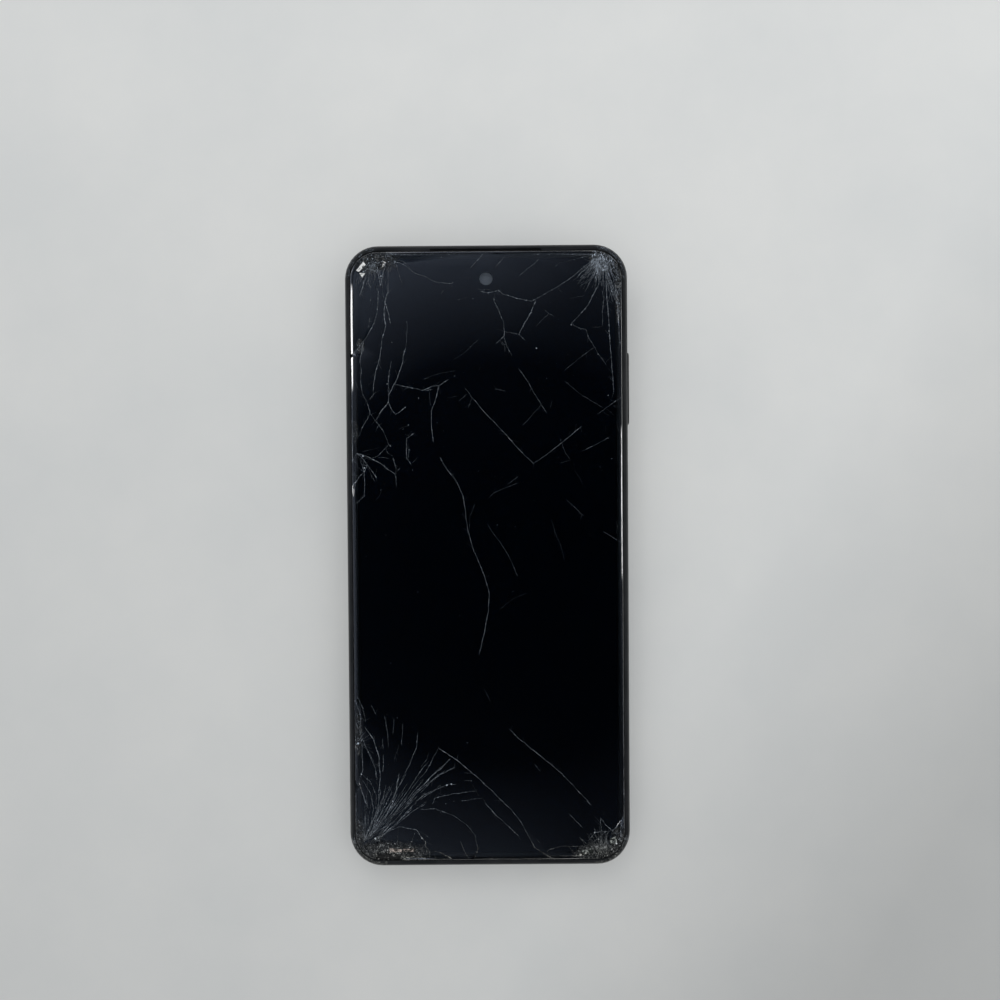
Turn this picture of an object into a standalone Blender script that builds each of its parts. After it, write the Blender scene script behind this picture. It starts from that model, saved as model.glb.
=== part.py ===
"""A touch-screen phone lying face up, its cover glass shattered from the corners."""

import math
import random

import bmesh
import bpy
import numpy as np
from mathutils import Matrix, Vector
from mathutils.geometry import delaunay_2d_cdt

MM = 0.001

# Body
BODY_WIDTH = 75.8
BODY_LENGTH = 167.0
CORNER_RADIUS = 9.0
CORNER_STEPS = 10
CLEARANCE = 0.1
FIT = 0.15

# Layers, from the back up
ISLAND_HEIGHT = 1.5
REAR_COVER_WALL = 0.9
REAR_COVER_RISE = 1.55
INNER_DEPTH = 5.3
MID_PLATE = 0.6
PANEL_THICKNESS = 0.9
GLASS_THICKNESS = 0.7

REAR_FACE_Z = ISLAND_HEIGHT + CLEARANCE
COVER_FLOOR_Z = REAR_FACE_Z + REAR_COVER_WALL
PARTING_Z = REAR_FACE_Z + REAR_COVER_RISE
FRAME_BOTTOM_Z = PARTING_Z + CLEARANCE
PLATE_BOTTOM_Z = COVER_FLOOR_Z + INNER_DEPTH
PLATE_TOP_Z = PLATE_BOTTOM_Z + MID_PLATE
PANEL_BOTTOM_Z = PLATE_TOP_Z + CLEARANCE
PANEL_TOP_Z = PANEL_BOTTOM_Z + PANEL_THICKNESS
GLASS_BOTTOM_Z = PANEL_TOP_Z + CLEARANCE
GLASS_TOP_Z = GLASS_BOTTOM_Z + GLASS_THICKNESS
FRAME_TOP_Z = GLASS_TOP_Z - 0.4

# Frame
RIM_SIDE = 1.8
RIM_END = 2.15
FRAME_WALL = 2.9
POCKET_RADIUS = 6.0
RIB = 1.2
BOSS_DIAMETER = 3.6
BOSS_DEPTH = 3.9
SCREW_SHANK = 1.4
SCREW_HEAD = 3.2
SCREW_HEAD_HEIGHT = 0.5
SCREW_LENGTH = 2.9

# Cover glass
GLASS_RADIUS = CORNER_RADIUS - RIM_SIDE
GLASS_EDGE_WIDTH = 1.1
GLASS_EDGE_DROP = 0.42
GROOVE_HALF_WIDTH = 0.13
GROOVE_DEPTH = 0.34
RUBBLE_DEPTH = 0.36
GLASS_LEAST = 0.12
SHARD_GAP = 0.18

# Display
ADHESIVE_INSET = 0.2
ADHESIVE_WIDTH = 1.2
PANEL_GAP = 0.3
FRONT_CAMERA_Y_FROM_TOP = 9.2
FRONT_BODY = 6.4
FRONT_BARREL = 4.2
PUNCH_HOLE = 3.6
DISPLAY_FLEX_WIDTH = 15.0
DISPLAY_FLEX_REACH = 14.0

# Earpiece
EARPIECE_LENGTH = 29.6
EARPIECE_SLIT = 0.6
EARPIECE_FLOOR_Z = FRAME_TOP_Z - 1.0
EARPIECE_SPEAKER_X0 = -17.5
EARPIECE_SPEAKER_X1 = -5.5
EARPIECE_SPEAKER_DEPTH = 6.0
EARPIECE_SPEAKER_HEIGHT = 2.4

# Side keys
KEY_HEIGHT = 2.0
KEY_Z = 6.5
KEY_FLANGE = 0.7
KEY_FLANGE_OVERHANG = 0.9
KEY_RECESS = 1.2
KEY_PLAY = 0.25
ROCKER_LENGTH = 19.4
ROCKER_Y_FROM_TOP = 38.5
ROCKER_STAND_OUT = 0.45
POWER_LENGTH = 10.4
POWER_Y_FROM_TOP = 62.5
POWER_STAND_OUT = 0.1
DOME_HEIGHT = 0.35
DOME_DIAMETER = 2.0

# SIM tray
TRAY_WIDTH = 16.2
TRAY_DEPTH = 24.9
TRAY_FACE = 1.0
TRAY_FACE_HEIGHT = 2.1
TRAY_PLATE = 0.65
TRAY_Z = 6.1
TRAY_Y_FROM_TOP = 31.5
TRAY_PLATE_INSET = 0.8
CARD_WIDTH = 12.0
CARD_LENGTH = 9.6
CARD_PITCH = 11.2
CARD_START = 2.2

# Cameras on the back
ISLAND_WIDTH = 20.0
ISLAND_LENGTH = 37.0
ISLAND_RADIUS = 6.0
ISLAND_X_FROM_SIDE = 15.5
ISLAND_Y_FROM_TOP = 23.5
CAMERA_FROM_ISLAND_SIDE = 8.0
MAIN_CAMERA_FROM_ISLAND_TOP = 7.5
MACRO_CAMERA_FROM_ISLAND_END = 7.1
WIDE_CAMERA_BELOW_MIDDLE = 0.6
MAIN_CAMERA = (10.4, 8.6)
WIDE_CAMERA = (8.8, 6.6)
MACRO_CAMERA = (7.2, 4.8)
FLASH_DIAMETER = 4.0
FLASH_FROM_ISLAND_SIDE = 4.4
FLASH_FROM_ISLAND_TOP = 10.5
WINDOW_THICKNESS = 0.7
WINDOW_DEPTH = 0.45
WINDOW_LIP = 0.5

# Boards and cells
BOARD_THICKNESS = 0.8
BOARD_GAP = 0.2
BOARD_EDGE_GAP = 0.6
BOARD_KEY_GAP = 1.2
BOARD_ARM = 4.6
BOARD_NOTCH_GAP = 0.8
BOARD_ISLAND_GAP = 0.4
CORNER_CUT = POCKET_RADIUS * 0.6
SHIELD_HEIGHT = 1.7
SHIELD_WIDTH = 11.4
SHIELD_SIDE_GAP = 2.6
SHIELD_NOTCH_GAP = 3.9
SHIELD_POST_GAP = 2.8
POST_GAP = 0.4
BATTERY_GAP = 0.7
BATTERY_HEADROOM = 0.3
THERMAL_INSET = 4.0
CHANNEL_WIDTH = 7.8
TOP_ZONE = 44.0
BOTTOM_ZONE = 32.4
COVER_PLATE = 0.8
FLEX = 0.2
COAX_DIAMETER = 0.9
CHARGE_BOARD_DEPTH = 15.5
CHARGE_BOARD_THICKNESS = 0.6
MICROPHONE_X = -10.0
MICROPHONE_WIDTH = 3.2
MICROPHONE_DEPTH = 2.4
MICROPHONE_HEIGHT = 2.1
MICROPHONE_HOLE = 1.0
SPEAKER_FROM_ZONE = 14.0
SPEAKER_HOLES = 6
SPEAKER_HOLE = 1.3
SPEAKER_HOLE_START = 12.0
SPEAKER_HOLE_PITCH = 2.5
MOTOR_DIAMETER = 9.0
MOTOR_HEIGHT = 2.8
MOTOR_FROM_SIDE = 11.0
USB_WIDTH = 8.9
USB_HEIGHT = 3.2
USB_LENGTH = 7.3
USB_WALL = 0.3
USB_Z = 5.4

HALF_WIDTH = BODY_WIDTH / 2
HALF_LENGTH = BODY_LENGTH / 2
GLASS_HALF_X = HALF_WIDTH - RIM_SIDE
GLASS_HALF_Y = HALF_LENGTH - RIM_END
CAVITY_X = HALF_WIDTH - FRAME_WALL
CAVITY_Y = HALF_LENGTH - FRAME_WALL

# The frame's side, from the parting line up: inset from the widest outline at a share of its height
SIDE_PROFILE = ((0.0, 0.85), (0.09, 0.55), (0.22, 0.25), (0.40, 0.05), (0.58, 0.0),
                (0.76, 0.10), (0.88, 0.40), (0.955, 0.85), (0.99, 1.25), (1.0, 1.45))

# Cracks as traced: depth share, then points from the middle of the screen
CRACKS_TOP_LEFT = (
    (1.0, (-26.4, 81.8), (-26.4, 74.0), (-26.5, 71.5), (-27.3, 69.0), (-27.6, 65.2), (-27.1, 62.6),
     (-28.0, 59.5), (-28.8, 54.4), (-29.9, 50.4), (-30.4, 47.8), (-30.7, 45.0)),
    (0.9, (-27.3, 69.0), (-26.5, 66.4), (-25.7, 63.0)),
    (0.6, (-27.9, 71.6), (-27.3, 69.0)),
    (0.9, (-29.9, 73.2), (-29.1, 72.0), (-29.4, 66.6), (-30.2, 63.4), (-32.4, 59.6), (-34.2, 57.2),
     (-36.4, 55.0)),
    (0.8, (-33.0, 58.4), (-33.7, 56.0), (-34.2, 53.2), (-33.8, 50.6), (-34.1, 48.0), (-33.6, 44.2),
     (-32.5, 42.4), (-31.6, 39.2), (-32.4, 37.4), (-34.2, 34.6)),
    (0.6, (-36.5, 54.7), (-34.3, 54.6)),
    (0.7, (-31.6, 39.2), (-29.9, 36.8), (-28.0, 34.3), (-26.6, 30.6), (-29.7, 27.6), (-31.3, 27.0)),
    (0.7, (-30.1, 44.7), (-31.9, 42.6)),
    (0.5, (-21.4, 64.0), (-21.4, 60.2), (-21.8, 57.0)),
    (1.0, (-21.8, 57.0), (-22.7, 52.8), (-24.1, 48.6), (-26.5, 44.0), (-26.6, 42.0), (-28.9, 39.2),
     (-30.0, 37.2)),
    (0.8, (-25.7, 53.2), (-26.5, 49.0), (-26.7, 45.2), (-26.5, 44.0)),
    (0.8, (-26.6, 42.0), (-25.7, 40.0), (-24.7, 38.8), (-22.0, 40.6)),
    (0.9, (-24.8, 46.9), (-21.5, 46.2), (-17.3, 45.2), (-14.9, 46.3), (-12.9, 46.4), (-10.3, 48.1)),
    (0.5, (-16.9, 45.1), (-14.3, 45.6)),
    (0.9, (-12.9, 46.4), (-13.7, 43.2), (-15.0, 39.6), (-15.1, 35.0), (-14.5, 31.0)),
    (0.3, (-17.3, 48.1), (-12.7, 49.8), (-8.5, 50.4)),
    (0.3, (-9.0, 53.4), (-6.3, 55.0), (-2.0, 59.0)),
    (0.4, (-23.9, 34.8), (-20.9, 36.0)),
    (0.8, (-19.5, 33.8), (-21.8, 32.2), (-21.8, 27.0), (-20.4, 24.9)),
    (0.6, (-20.9, 29.6), (-21.4, 26.7)),
    (0.5, (-20.3, 25.6), (-18.7, 27.2)),
    (0.8, (-24.9, 79.8), (-23.3, 79.6), (-21.5, 78.6), (-19.0, 76.6), (-16.7, 76.0), (-13.4, 74.3),
     (-9.6, 73.9), (-8.4, 74.2)),
    (0.6, (-24.1, 79.2), (-23.3, 76.0), (-22.5, 73.8)),
    (0.5, (-12.2, 71.0), (-11.5, 72.2)),
    (0.3, (-8.0, 69.4), (-5.0, 70.2)),
    (0.8, (-33.7, 76.4), (-34.7, 73.6)),
    (0.9, (-32.8, 75.4), (-33.4, 72.8), (-34.2, 70.6)),
    (0.9, (-31.5, 77.0), (-31.6, 73.8), (-31.0, 72.8), (-29.9, 75.4), (-30.2, 77.4)),
    (1.0, (-29.1, 77.4), (-28.9, 76.0), (-28.5, 73.2), (-27.7, 77.0), (-27.3, 78.4)),
    (0.5, (-31.1, 70.4), (-31.1, 68.6)),
    (0.5, (-31.3, 65.2), (-31.9, 61.8)),
)

CRACKS_LEFT = (
    (0.9, (-36.6, 26.2), (-35.2, 28.4), (-33.9, 27.2), (-32.3, 25.0), (-29.9, 21.6)),
    (1.0, (-35.2, 28.4), (-32.5, 27.5), (-31.1, 26.8), (-28.9, 25.6), (-26.7, 23.8), (-24.7, 22.6)),
    (0.5, (-29.7, 27.4), (-26.5, 26.9)),
    (0.8, (-25.5, 27.4), (-24.8, 24.4), (-24.7, 19.0)),
    (0.5, (-24.6, 23.2), (-23.5, 24.6)),
    (1.0, (-33.7, 25.2), (-33.3, 23.2), (-34.5, 22.2), (-35.5, 20.8), (-36.6, 19.8)),
    (0.8, (-33.3, 23.2), (-33.2, 18.6), (-33.5, 16.8), (-34.9, 15.4), (-36.6, 14.1)),
    (0.6, (-35.5, 20.8), (-36.4, 18.4)),
)

CRACKS_TOP_RIGHT = (
    (0.7, (-4.2, 78.0), (-0.5, 82.0)),
    (0.6, (2.2, 77.8), (5.0, 81.0), (5.4, 82.4)),
    (0.8, (-1.8, 71.8), (0.4, 71.3), (3.4, 72.0), (4.4, 71.1), (8.5, 69.7), (12.3, 69.0),
     (14.7, 70.2), (19.3, 72.8), (22.5, 74.8), (26.1, 77.7), (29.4, 80.6)),
    (0.8, (1.8, 70.0), (3.0, 67.4), (4.7, 63.4), (4.9, 61.0), (4.7, 59.6), (2.4, 57.6)),
    (0.7, (4.7, 59.6), (5.4, 57.4), (6.9, 54.3)),
    (0.6, (4.9, 61.0), (7.6, 60.2), (8.7, 60.1), (10.5, 58.4)),
    (1.0, (8.7, 60.1), (12.1, 66.0), (13.5, 69.3)),
    (0.4, (19.3, 72.8), (20.3, 71.2)),
    (0.6, (8.9, 75.8), (13.3, 79.2), (14.5, 80.4)),
    (0.3, (18.3, 78.0), (19.7, 79.0)),
    (0.6, (15.5, 66.8), (16.9, 65.7), (18.5, 64.8)),
    (0.5, (16.9, 65.7), (13.3, 62.2)),
    (0.3, (22.5, 69.6), (26.5, 70.4)),
    (0.9, (22.9, 62.7), (24.7, 64.6), (27.5, 67.8), (28.9, 70.4), (30.1, 73.0)),
    (0.7, (22.9, 62.7), (25.5, 61.5), (26.9, 61.4), (27.7, 59.0), (30.1, 54.8), (32.5, 51.6)),
    (0.6, (29.0, 56.4), (26.5, 54.6), (23.9, 52.6), (20.9, 50.2)),
    (0.4, (28.9, 61.8), (31.4, 62.2)),
    (1.0, (32.3, 79.0), (32.5, 72.2), (33.0, 65.4), (33.3, 59.4), (33.9, 51.6), (34.3, 44.6)),
    (0.8, (31.3, 72.0), (31.8, 69.0), (31.4, 65.8), (31.4, 62.2)),
    (0.9, (32.5, 80.6), (33.1, 78.4), (34.7, 73.8), (35.2, 69.5), (35.7, 62.6), (36.1, 57.0)),
    (0.9, (33.5, 80.4), (34.9, 77.4), (36.0, 74.4)),
    (0.6, (35.1, 71.0), (36.4, 72.4)),
    (0.6, (35.5, 66.0), (36.4, 64.0)),
    (0.6, (8.7, 51.0), (11.5, 46.6), (13.8, 42.6), (16.1, 38.8)),
    (0.5, (14.7, 41.0), (9.7, 35.6)),
    (0.4, (17.7, 42.4), (17.1, 40.0)),
    (0.5, (20.9, 47.6), (25.1, 44.0), (31.5, 40.1)),
    (0.8, (29.7, 38.4), (31.5, 39.6), (34.1, 41.4), (36.4, 43.0)),
)

CRACKS_MIDDLE = (
    (0.9, (-6.0, 46.0), (-4.0, 43.2), (-0.2, 38.8), (5.0, 33.2), (10.2, 27.4), (12.5, 25.2),
     (16.5, 28.0), (20.2, 30.8), (25.8, 35.4)),
    (0.5, (-5.4, 44.2), (-7.6, 42.2)),
    (0.5, (-4.0, 43.2), (-5.0, 40.4)),
    (0.6, (19.8, 32.0), (20.2, 30.8), (21.3, 28.0), (22.5, 26.0)),
    (0.4, (19.5, 25.4), (22.5, 26.0)),
    (0.6, (25.5, 28.4), (30.1, 30.6), (33.3, 32.4)),
    (0.6, (21.3, 15.4), (26.1, 11.0)),
    (0.6, (31.3, 6.8), (36.3, 3.6)),
    (0.9, (-12.9, 27.4), (-11.6, 24.8), (-8.4, 20.6), (-6.8, 17.0), (-6.0, 12.6), (-5.4, 7.2),
     (-3.9, 2.0), (-2.2, -1.9), (-0.2, -7.4), (0.2, -10.5), (0.0, -14.5), (-0.9, -19.2), (-2.5, -26.5)),
    (0.5, (-3.4, 14.4), (-4.9, 11.0)),
    (0.6, (0.4, 16.0), (1.8, 17.4), (5.0, 18.8), (8.6, 20.2)),
    (0.5, (5.4, 19.6), (8.6, 22.0)),
    (0.5, (-0.2, 9.0), (3.5, 3.7), (5.8, 0.0), (8.1, -5.4)),
    (0.3, (3.0, -14.2), (6.5, -11.5), (10.3, -9.8)),
    (0.4, (-1.3, -35.8), (0.4, -39.4)),
)

CRACKS_BOTTOM_LEFT = (
    (0.8, (-36.5, -38.6), (-34.9, -43.0), (-35.3, -47.0), (-33.5, -51.8), (-31.1, -57.0),
     (-30.8, -60.2)),
    (0.7, (-35.9, -37.4), (-34.5, -40.6), (-33.5, -44.6)),
    (0.7, (-32.1, -39.8), (-30.7, -42.8)),
    (1.0, (-33.9, -45.8), (-31.5, -49.4), (-30.1, -53.8), (-29.8, -59.0), (-30.1, -63.0),
     (-30.4, -69.0), (-31.9, -73.6)),
    (0.9, (-28.9, -53.6), (-29.0, -58.6)),
    (0.6, (-28.5, -42.8), (-27.5, -49.0)),
    (0.6, (-25.9, -43.4), (-26.2, -48.2)),
    (0.6, (-23.5, -45.0), (-23.9, -51.0)),
    (0.7, (-19.4, -47.2), (-19.9, -51.8), (-21.9, -56.6), (-23.3, -58.8)),
    (0.7, (-24.7, -58.6), (-25.2, -62.6), (-26.4, -66.6)),
    (0.8, (-36.6, -50.6), (-34.7, -50.0)),
    (0.8, (-34.7, -50.0), (-34.5, -57.8), (-35.6, -60.4), (-34.5, -64.6), (-33.1, -68.0)),
    (0.7, (-34.7, -59.0), (-32.5, -60.8), (-30.9, -64.4), (-31.1, -68.8)),
    (0.7, (-34.7, -60.2), (-32.5, -64.0), (-31.7, -68.2), (-32.4, -73.0)),
    (0.6, (-36.6, -60.6), (-35.3, -62.4), (-36.6, -64.4)),
    (0.6, (-36.7, -69.2), (-34.9, -72.2)),
    (0.9, (-19.7, -63.4), (-15.5, -59.2), (-13.5, -57.6), (-10.6, -54.6)),
    (0.7, (-18.9, -64.0), (-14.1, -59.2), (-9.3, -57.0)),
    (0.8, (-19.1, -66.0), (-14.5, -63.0), (-11.2, -61.8), (-9.0, -61.8)),
    (0.7, (-15.6, -67.4), (-15.0, -65.5), (-12.4, -64.8), (-7.4, -64.0), (-3.6, -63.8)),
    (0.8, (-19.1, -68.6), (-14.9, -68.4), (-9.8, -70.4), (-6.4, -72.8), (-4.0, -75.8), (-3.3, -79.8),
     (-4.4, -82.4)),
    (0.6, (-3.3, -79.8), (-1.5, -82.6)),
    (0.9, (-13.9, -51.8), (-8.8, -55.2), (-3.2, -60.0), (1.6, -64.6), (6.0, -69.0), (8.6, -72.4),
     (12.1, -79.2), (16.9, -82.2)),
    (0.9, (-1.4, -66.8), (1.4, -70.0), (8.0, -76.2)),
    (0.5, (-8.0, -66.3), (-2.0, -65.6)),
    (0.6, (-7.0, -60.8), (-5.0, -60.8)),
    (0.9, (-15.6, -80.0), (-13.8, -80.3), (-10.2, -82.3)),
    (0.9, (-31.7, -76.8), (-28.1, -74.6), (-24.9, -73.2), (-20.1, -74.1), (-17.7, -77.4),
     (-17.2, -80.6), (-17.3, -82.6)),
    (0.6, (-8.2, -77.2), (-7.0, -80.0), (-5.8, -82.4)),
)

CRACKS_BOTTOM_RIGHT = (
    (0.9, (5.4, -46.6), (8.0, -49.4), (14.0, -54.2), (19.7, -59.2), (24.1, -63.8), (27.7, -67.8)),
    (0.6, (12.1, -56.2), (13.9, -58.4)),
    (0.8, (21.5, -70.0), (25.3, -74.0)),
    (0.9, (24.3, -76.4), (26.5, -78.6)),
    (0.6, (15.5, -80.0), (19.7, -78.8), (25.5, -79.0)),
    (0.5, (21.3, -78.8), (22.7, -80.4)),
    (0.5, (12.5, -76.6), (13.5, -78.0)),
    (1.0, (28.3, -73.8), (28.7, -75.2), (27.1, -77.0), (27.9, -78.0), (29.7, -76.6), (31.7, -75.0),
     (28.7, -75.2)),
    (1.0, (30.1, -71.2), (30.3, -75.0), (30.2, -79.0)),
    (0.9, (30.1, -71.2), (31.5, -73.0), (33.5, -74.8), (35.5, -72.2), (36.4, -70.8)),
    (0.8, (35.5, -72.2), (36.2, -74.6)),
    (0.9, (31.7, -75.0), (31.1, -78.6)),
)

CRACKS = (CRACKS_TOP_LEFT, CRACKS_LEFT, CRACKS_TOP_RIGHT, CRACKS_MIDDLE, CRACKS_BOTTOM_LEFT,
          CRACKS_BOTTOM_RIGHT)
TRACED_POINTS = [point for group in CRACKS for crack in group for point in crack[1:]]
TRACED_REACH_X = max(abs(x) for x, _ in TRACED_POINTS)
TRACED_REACH_Y = max(abs(y) for _, y in TRACED_POINTS)

# Fans of fine cracks: origin, first and last tip, distance between tips
FANS = (
    ((30.2, 81.2), (23.6, 74.4), (31.4, 71.6), 1.05),
    ((31.6, 81.4), (33.4, 70.4), (36.2, 66.0), 1.3),
    ((-31.0, 79.6), (-35.2, 72.0), (-27.6, 72.4), 2.4),
    ((-33.8, -78.0), (-29.2, -62.0), (-19.0, -58.2), 1.5),
    ((-32.6, -78.4), (-18.4, -59.6), (-17.6, -66.6), 1.2),
    ((31.6, -82.0), (26.6, -76.2), (35.2, -73.4), 1.8),
)
FAN_SWAY = 0.5
TIP_TAPER = 0.6

# Corners crushed to rubble, as outlines
CRUSHED = (
    ((-35.6, 75.6), (-33.6, 79.6), (-30.0, 81.9), (-25.6, 82.2), (-26.0, 78.2), (-30.6, 76.2)),
    ((28.2, 80.2), (31.0, 77.8), (34.8, 76.0), (36.2, 77.4), (33.4, 81.0), (29.6, 82.3)),
    ((-36.4, -74.6), (-33.0, -77.8), (-28.4, -77.2), (-19.4, -78.0), (-16.6, -82.3), (-30.0, -82.3),
     (-35.0, -79.4)),
    ((36.4, -74.8), (32.6, -75.8), (30.6, -78.0), (26.0, -78.8), (22.2, -82.3), (31.0, -82.3),
     (35.2, -79.2)),
)
RUBBLE_SPACING = 1.15

# Glass broken right out at the edge, as outlines reaching past it
CHIPS = (
    ((-31.6, -84.0), (-31.2, -81.0), (-28.0, -80.75), (-24.6, -80.9), (-24.2, -82.0), (-23.6, -84.0)),
    ((35.4, 78.6), (36.2, 77.6), (38.0, 78.0), (38.0, 80.0)),
    ((-38.0, 55.0), (-36.3, 55.1), (-36.1, 54.3), (-38.0, 53.9)),
    ((30.0, -84.0), (30.8, -82.1), (32.0, -81.9), (32.6, -84.0)),
)

# Loose shards still lying in place: outline, then tilt about its first side in degrees
SHARDS = {
    "glass_shard_top_left_a": (((-35.0, 77.6), (-34.2, 77.3), (-32.4, 79.2), (-33.0, 80.0)), 3.0),
    "glass_shard_top_left_b": (((-34.2, 76.9), (-32.6, 76.8), (-33.4, 75.7)), -4.0),
    "glass_shard_top_left_c": (((-27.6, 80.0), (-26.9, 79.8), (-27.3, 78.9), (-27.9, 78.6)), 5.0),
    "glass_shard_bottom_left_a": (((-27.6, -79.2), (-27.4, -80.2), (-24.2, -80.3), (-24.0, -79.6)), -3.0),
    "glass_shard_bottom_left_b": (((-23.6, -79.5), (-23.5, -80.2), (-20.6, -80.1), (-20.9, -79.3)), 4.0),
    "glass_shard_bottom_right_a": (((25.0, -80.2), (27.4, -79.6), (28.0, -80.6), (25.6, -81.4)), 4.0),
    "glass_shard_bottom_right_b": (((32.6, -77.0), (34.4, -76.4), (34.6, -78.0), (33.0, -78.6)), -4.0),
}


def clear_scene():
    for obj in list(bpy.data.objects):
        bpy.data.objects.remove(obj, do_unlink=True)
    for mesh in list(bpy.data.meshes):
        bpy.data.meshes.remove(mesh)
    for material in list(bpy.data.materials):
        bpy.data.materials.remove(material)


def finish(obj, colour, roughness, metallic=0.0):
    """Gives the object its own Principled material."""
    material = bpy.data.materials.new(obj.name)
    material.use_nodes = True
    shader = material.node_tree.nodes["Principled BSDF"]
    shader.inputs["Base Color"].default_value = (*colour, 1.0)
    shader.inputs["Roughness"].default_value = roughness
    shader.inputs["Metallic"].default_value = metallic
    obj.data.materials.clear()
    obj.data.materials.append(material)
    return obj


def add_object(name, mesh, at=(0, 0, 0)):
    """Links a mesh made in millimetres, with its origin at a point given in millimetres."""
    origin = Vector(at)
    mesh.transform(Matrix.Scale(MM, 4) @ Matrix.Translation(-origin))
    obj = bpy.data.objects.new(name, mesh)
    obj.location = origin * MM
    bpy.context.scene.collection.objects.link(obj)
    return obj


def mesh_of(name, bm):
    bmesh.ops.recalc_face_normals(bm, faces=bm.faces)
    mesh = bpy.data.meshes.new(name)
    bm.to_mesh(mesh)
    bm.free()
    return mesh


def smooth(obj, degrees=35):
    obj.data.shade_smooth()
    obj.data.set_sharp_from_angle(angle=math.radians(degrees))
    return obj


def rounded(half_x, half_y, radius, steps=CORNER_STEPS, centre=(0, 0)):
    """The outline of a rounded rectangle, anticlockwise, from its lower right corner."""
    points = []
    radius = min(radius, half_x - 0.01, half_y - 0.01)
    for quarter, (sx, sy) in enumerate(((1, -1), (1, 1), (-1, 1), (-1, -1))):
        cx = centre[0] + sx * (half_x - radius)
        cy = centre[1] + sy * (half_y - radius)
        for step in range(steps + 1):
            angle = math.pi / 2 * (quarter - 1 + step / steps)
            points.append((cx + radius * math.cos(angle), cy + radius * math.sin(angle)))
    return points


def rectangle(x0, x1, y0, y1):
    return [(x0, y0), (x1, y0), (x1, y1), (x0, y1)]


def circle(x, y, diameter, steps=20):
    turn = 2 * math.pi / steps
    half = diameter / 2
    return [(x + half * math.cos(turn * i), y + half * math.sin(turn * i)) for i in range(steps)]


def loft(rings):
    """A closed bmesh through rings of equal count, each a list of points in 3-D."""
    bm = bmesh.new()
    rows = [[bm.verts.new(point) for point in ring] for ring in rings]
    count = len(rows[0])
    for low, high in zip(rows, rows[1:]):
        for i in range(count):
            j = (i + 1) % count
            bm.faces.new((low[i], low[j], high[j], high[i]))
    bm.faces.new(rows[0][::-1])
    bm.faces.new(rows[-1])
    return bm


def at_height(outline, z):
    return [(x, y, z) for x, y in outline]


def prism(outline, z0, z1):
    return loft([at_height(outline, z0), at_height(outline, z1)])


def merged(*parts):
    """One bmesh holding several closed shapes that don't touch."""
    bm = bmesh.new()
    for part in parts:
        mesh = bpy.data.meshes.new("part")
        part.to_mesh(mesh)
        part.free()
        bm.from_mesh(mesh)
        bpy.data.meshes.remove(mesh)
    return bm


def turned(bm, matrix):
    bmesh.ops.transform(bm, matrix=matrix, verts=bm.verts)
    return bm


def slab(name, outline, z0, z1, bevel=0.0):
    """A flat piece; a bevel softens its edges."""
    obj = add_object(name, mesh_of(name, prism(outline, z0, z1)))
    if bevel:
        soften(obj, bevel)
    return obj


def soften(obj, width, segments=2, degrees=50):
    modifier = obj.modifiers.new("Soft edges", "BEVEL")
    modifier.width = width * MM
    modifier.segments = segments
    modifier.limit_method = "ANGLE"
    modifier.angle_limit = math.radians(degrees)
    return obj


def boolean(obj, label, bm, operation="DIFFERENCE"):
    """Cuts a shape from the object, or joins it on, with a hidden helper."""
    helper = add_object(f"{obj.name} {label}", mesh_of(label, bm))
    helper.hide_render = True
    helper.display_type = "WIRE"
    modifier = obj.modifiers.new(label, "BOOLEAN")
    modifier.operation = operation
    modifier.solver = "EXACT"
    modifier.object = helper
    return helper


def tube(route, z, diameter, steps=8):
    """A round lead along a level route, mitred at its bends."""
    rings = []
    for number, (x, y) in enumerate(route):
        before = route[max(number - 1, 0)]
        after = route[min(number + 1, len(route) - 1)]
        way = Vector((after[0] - before[0], after[1] - before[1])).normalized()
        rings.append([(x - way.y * u, y + way.x * u, z + v) for u, v in circle(0, 0, diameter, steps)])
    return loft(rings)


def stadium(length, height, steps=8):
    """Outline of a slot with round ends, its long way first."""
    return rounded(length / 2, height / 2, height / 2, steps)


def along_x(outline, x0, x1, y, z):
    """An outline drawn in Y and Z, extruded along X."""
    return loft([[(x, y + u, z + v) for u, v in outline] for x in (x0, x1)])


def along_y(outline, y0, y1, x, z):
    """An outline drawn in X and Z, extruded along Y."""
    return loft([[(x + u, y, z + v) for u, v in outline] for y in (y0, y1)])


def side_inset(z):
    """How far the frame's side lies inside its widest outline at a height."""
    share = (z - FRAME_BOTTOM_Z) / (FRAME_TOP_Z - FRAME_BOTTOM_Z)
    return float(np.interp(share, [s for s, _ in SIDE_PROFILE], [i for _, i in SIDE_PROFILE]))


def body_ring(inset, z):
    return at_height(rounded(HALF_WIDTH - inset, HALF_LENGTH - inset, CORNER_RADIUS - inset), z)


def frame_height(share):
    return FRAME_BOTTOM_Z + share * (FRAME_TOP_Z - FRAME_BOTTOM_Z)


TOP_ZONE_Y = CAVITY_Y - TOP_ZONE
BOTTOM_ZONE_Y = BOTTOM_ZONE - CAVITY_Y
CHANNEL_X = CAVITY_X - CHANNEL_WIDTH
KEY_X = CAVITY_X + FIT
ROCKER_Y = HALF_LENGTH - ROCKER_Y_FROM_TOP
POWER_Y = HALF_LENGTH - POWER_Y_FROM_TOP
TRAY_Y = HALF_LENGTH - TRAY_Y_FROM_TOP
ISLAND_X = HALF_WIDTH - ISLAND_X_FROM_SIDE
ISLAND_Y = HALF_LENGTH - ISLAND_Y_FROM_TOP
FRONT_CAMERA_Y = HALF_LENGTH - FRONT_CAMERA_Y_FROM_TOP
BOARD_TOP_Z = PLATE_BOTTOM_Z - BOARD_GAP
BOARD_Z = BOARD_TOP_Z - BOARD_THICKNESS
PLATE_COVER_Z = PLATE_BOTTOM_Z - BOSS_DEPTH - CLEARANCE
DISPLAY_FLEX_Y = BOTTOM_ZONE_Y - 13.0
CHARGE_BOARD_Z = USB_Z + USB_HEIGHT / 2 + CLEARANCE
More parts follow.
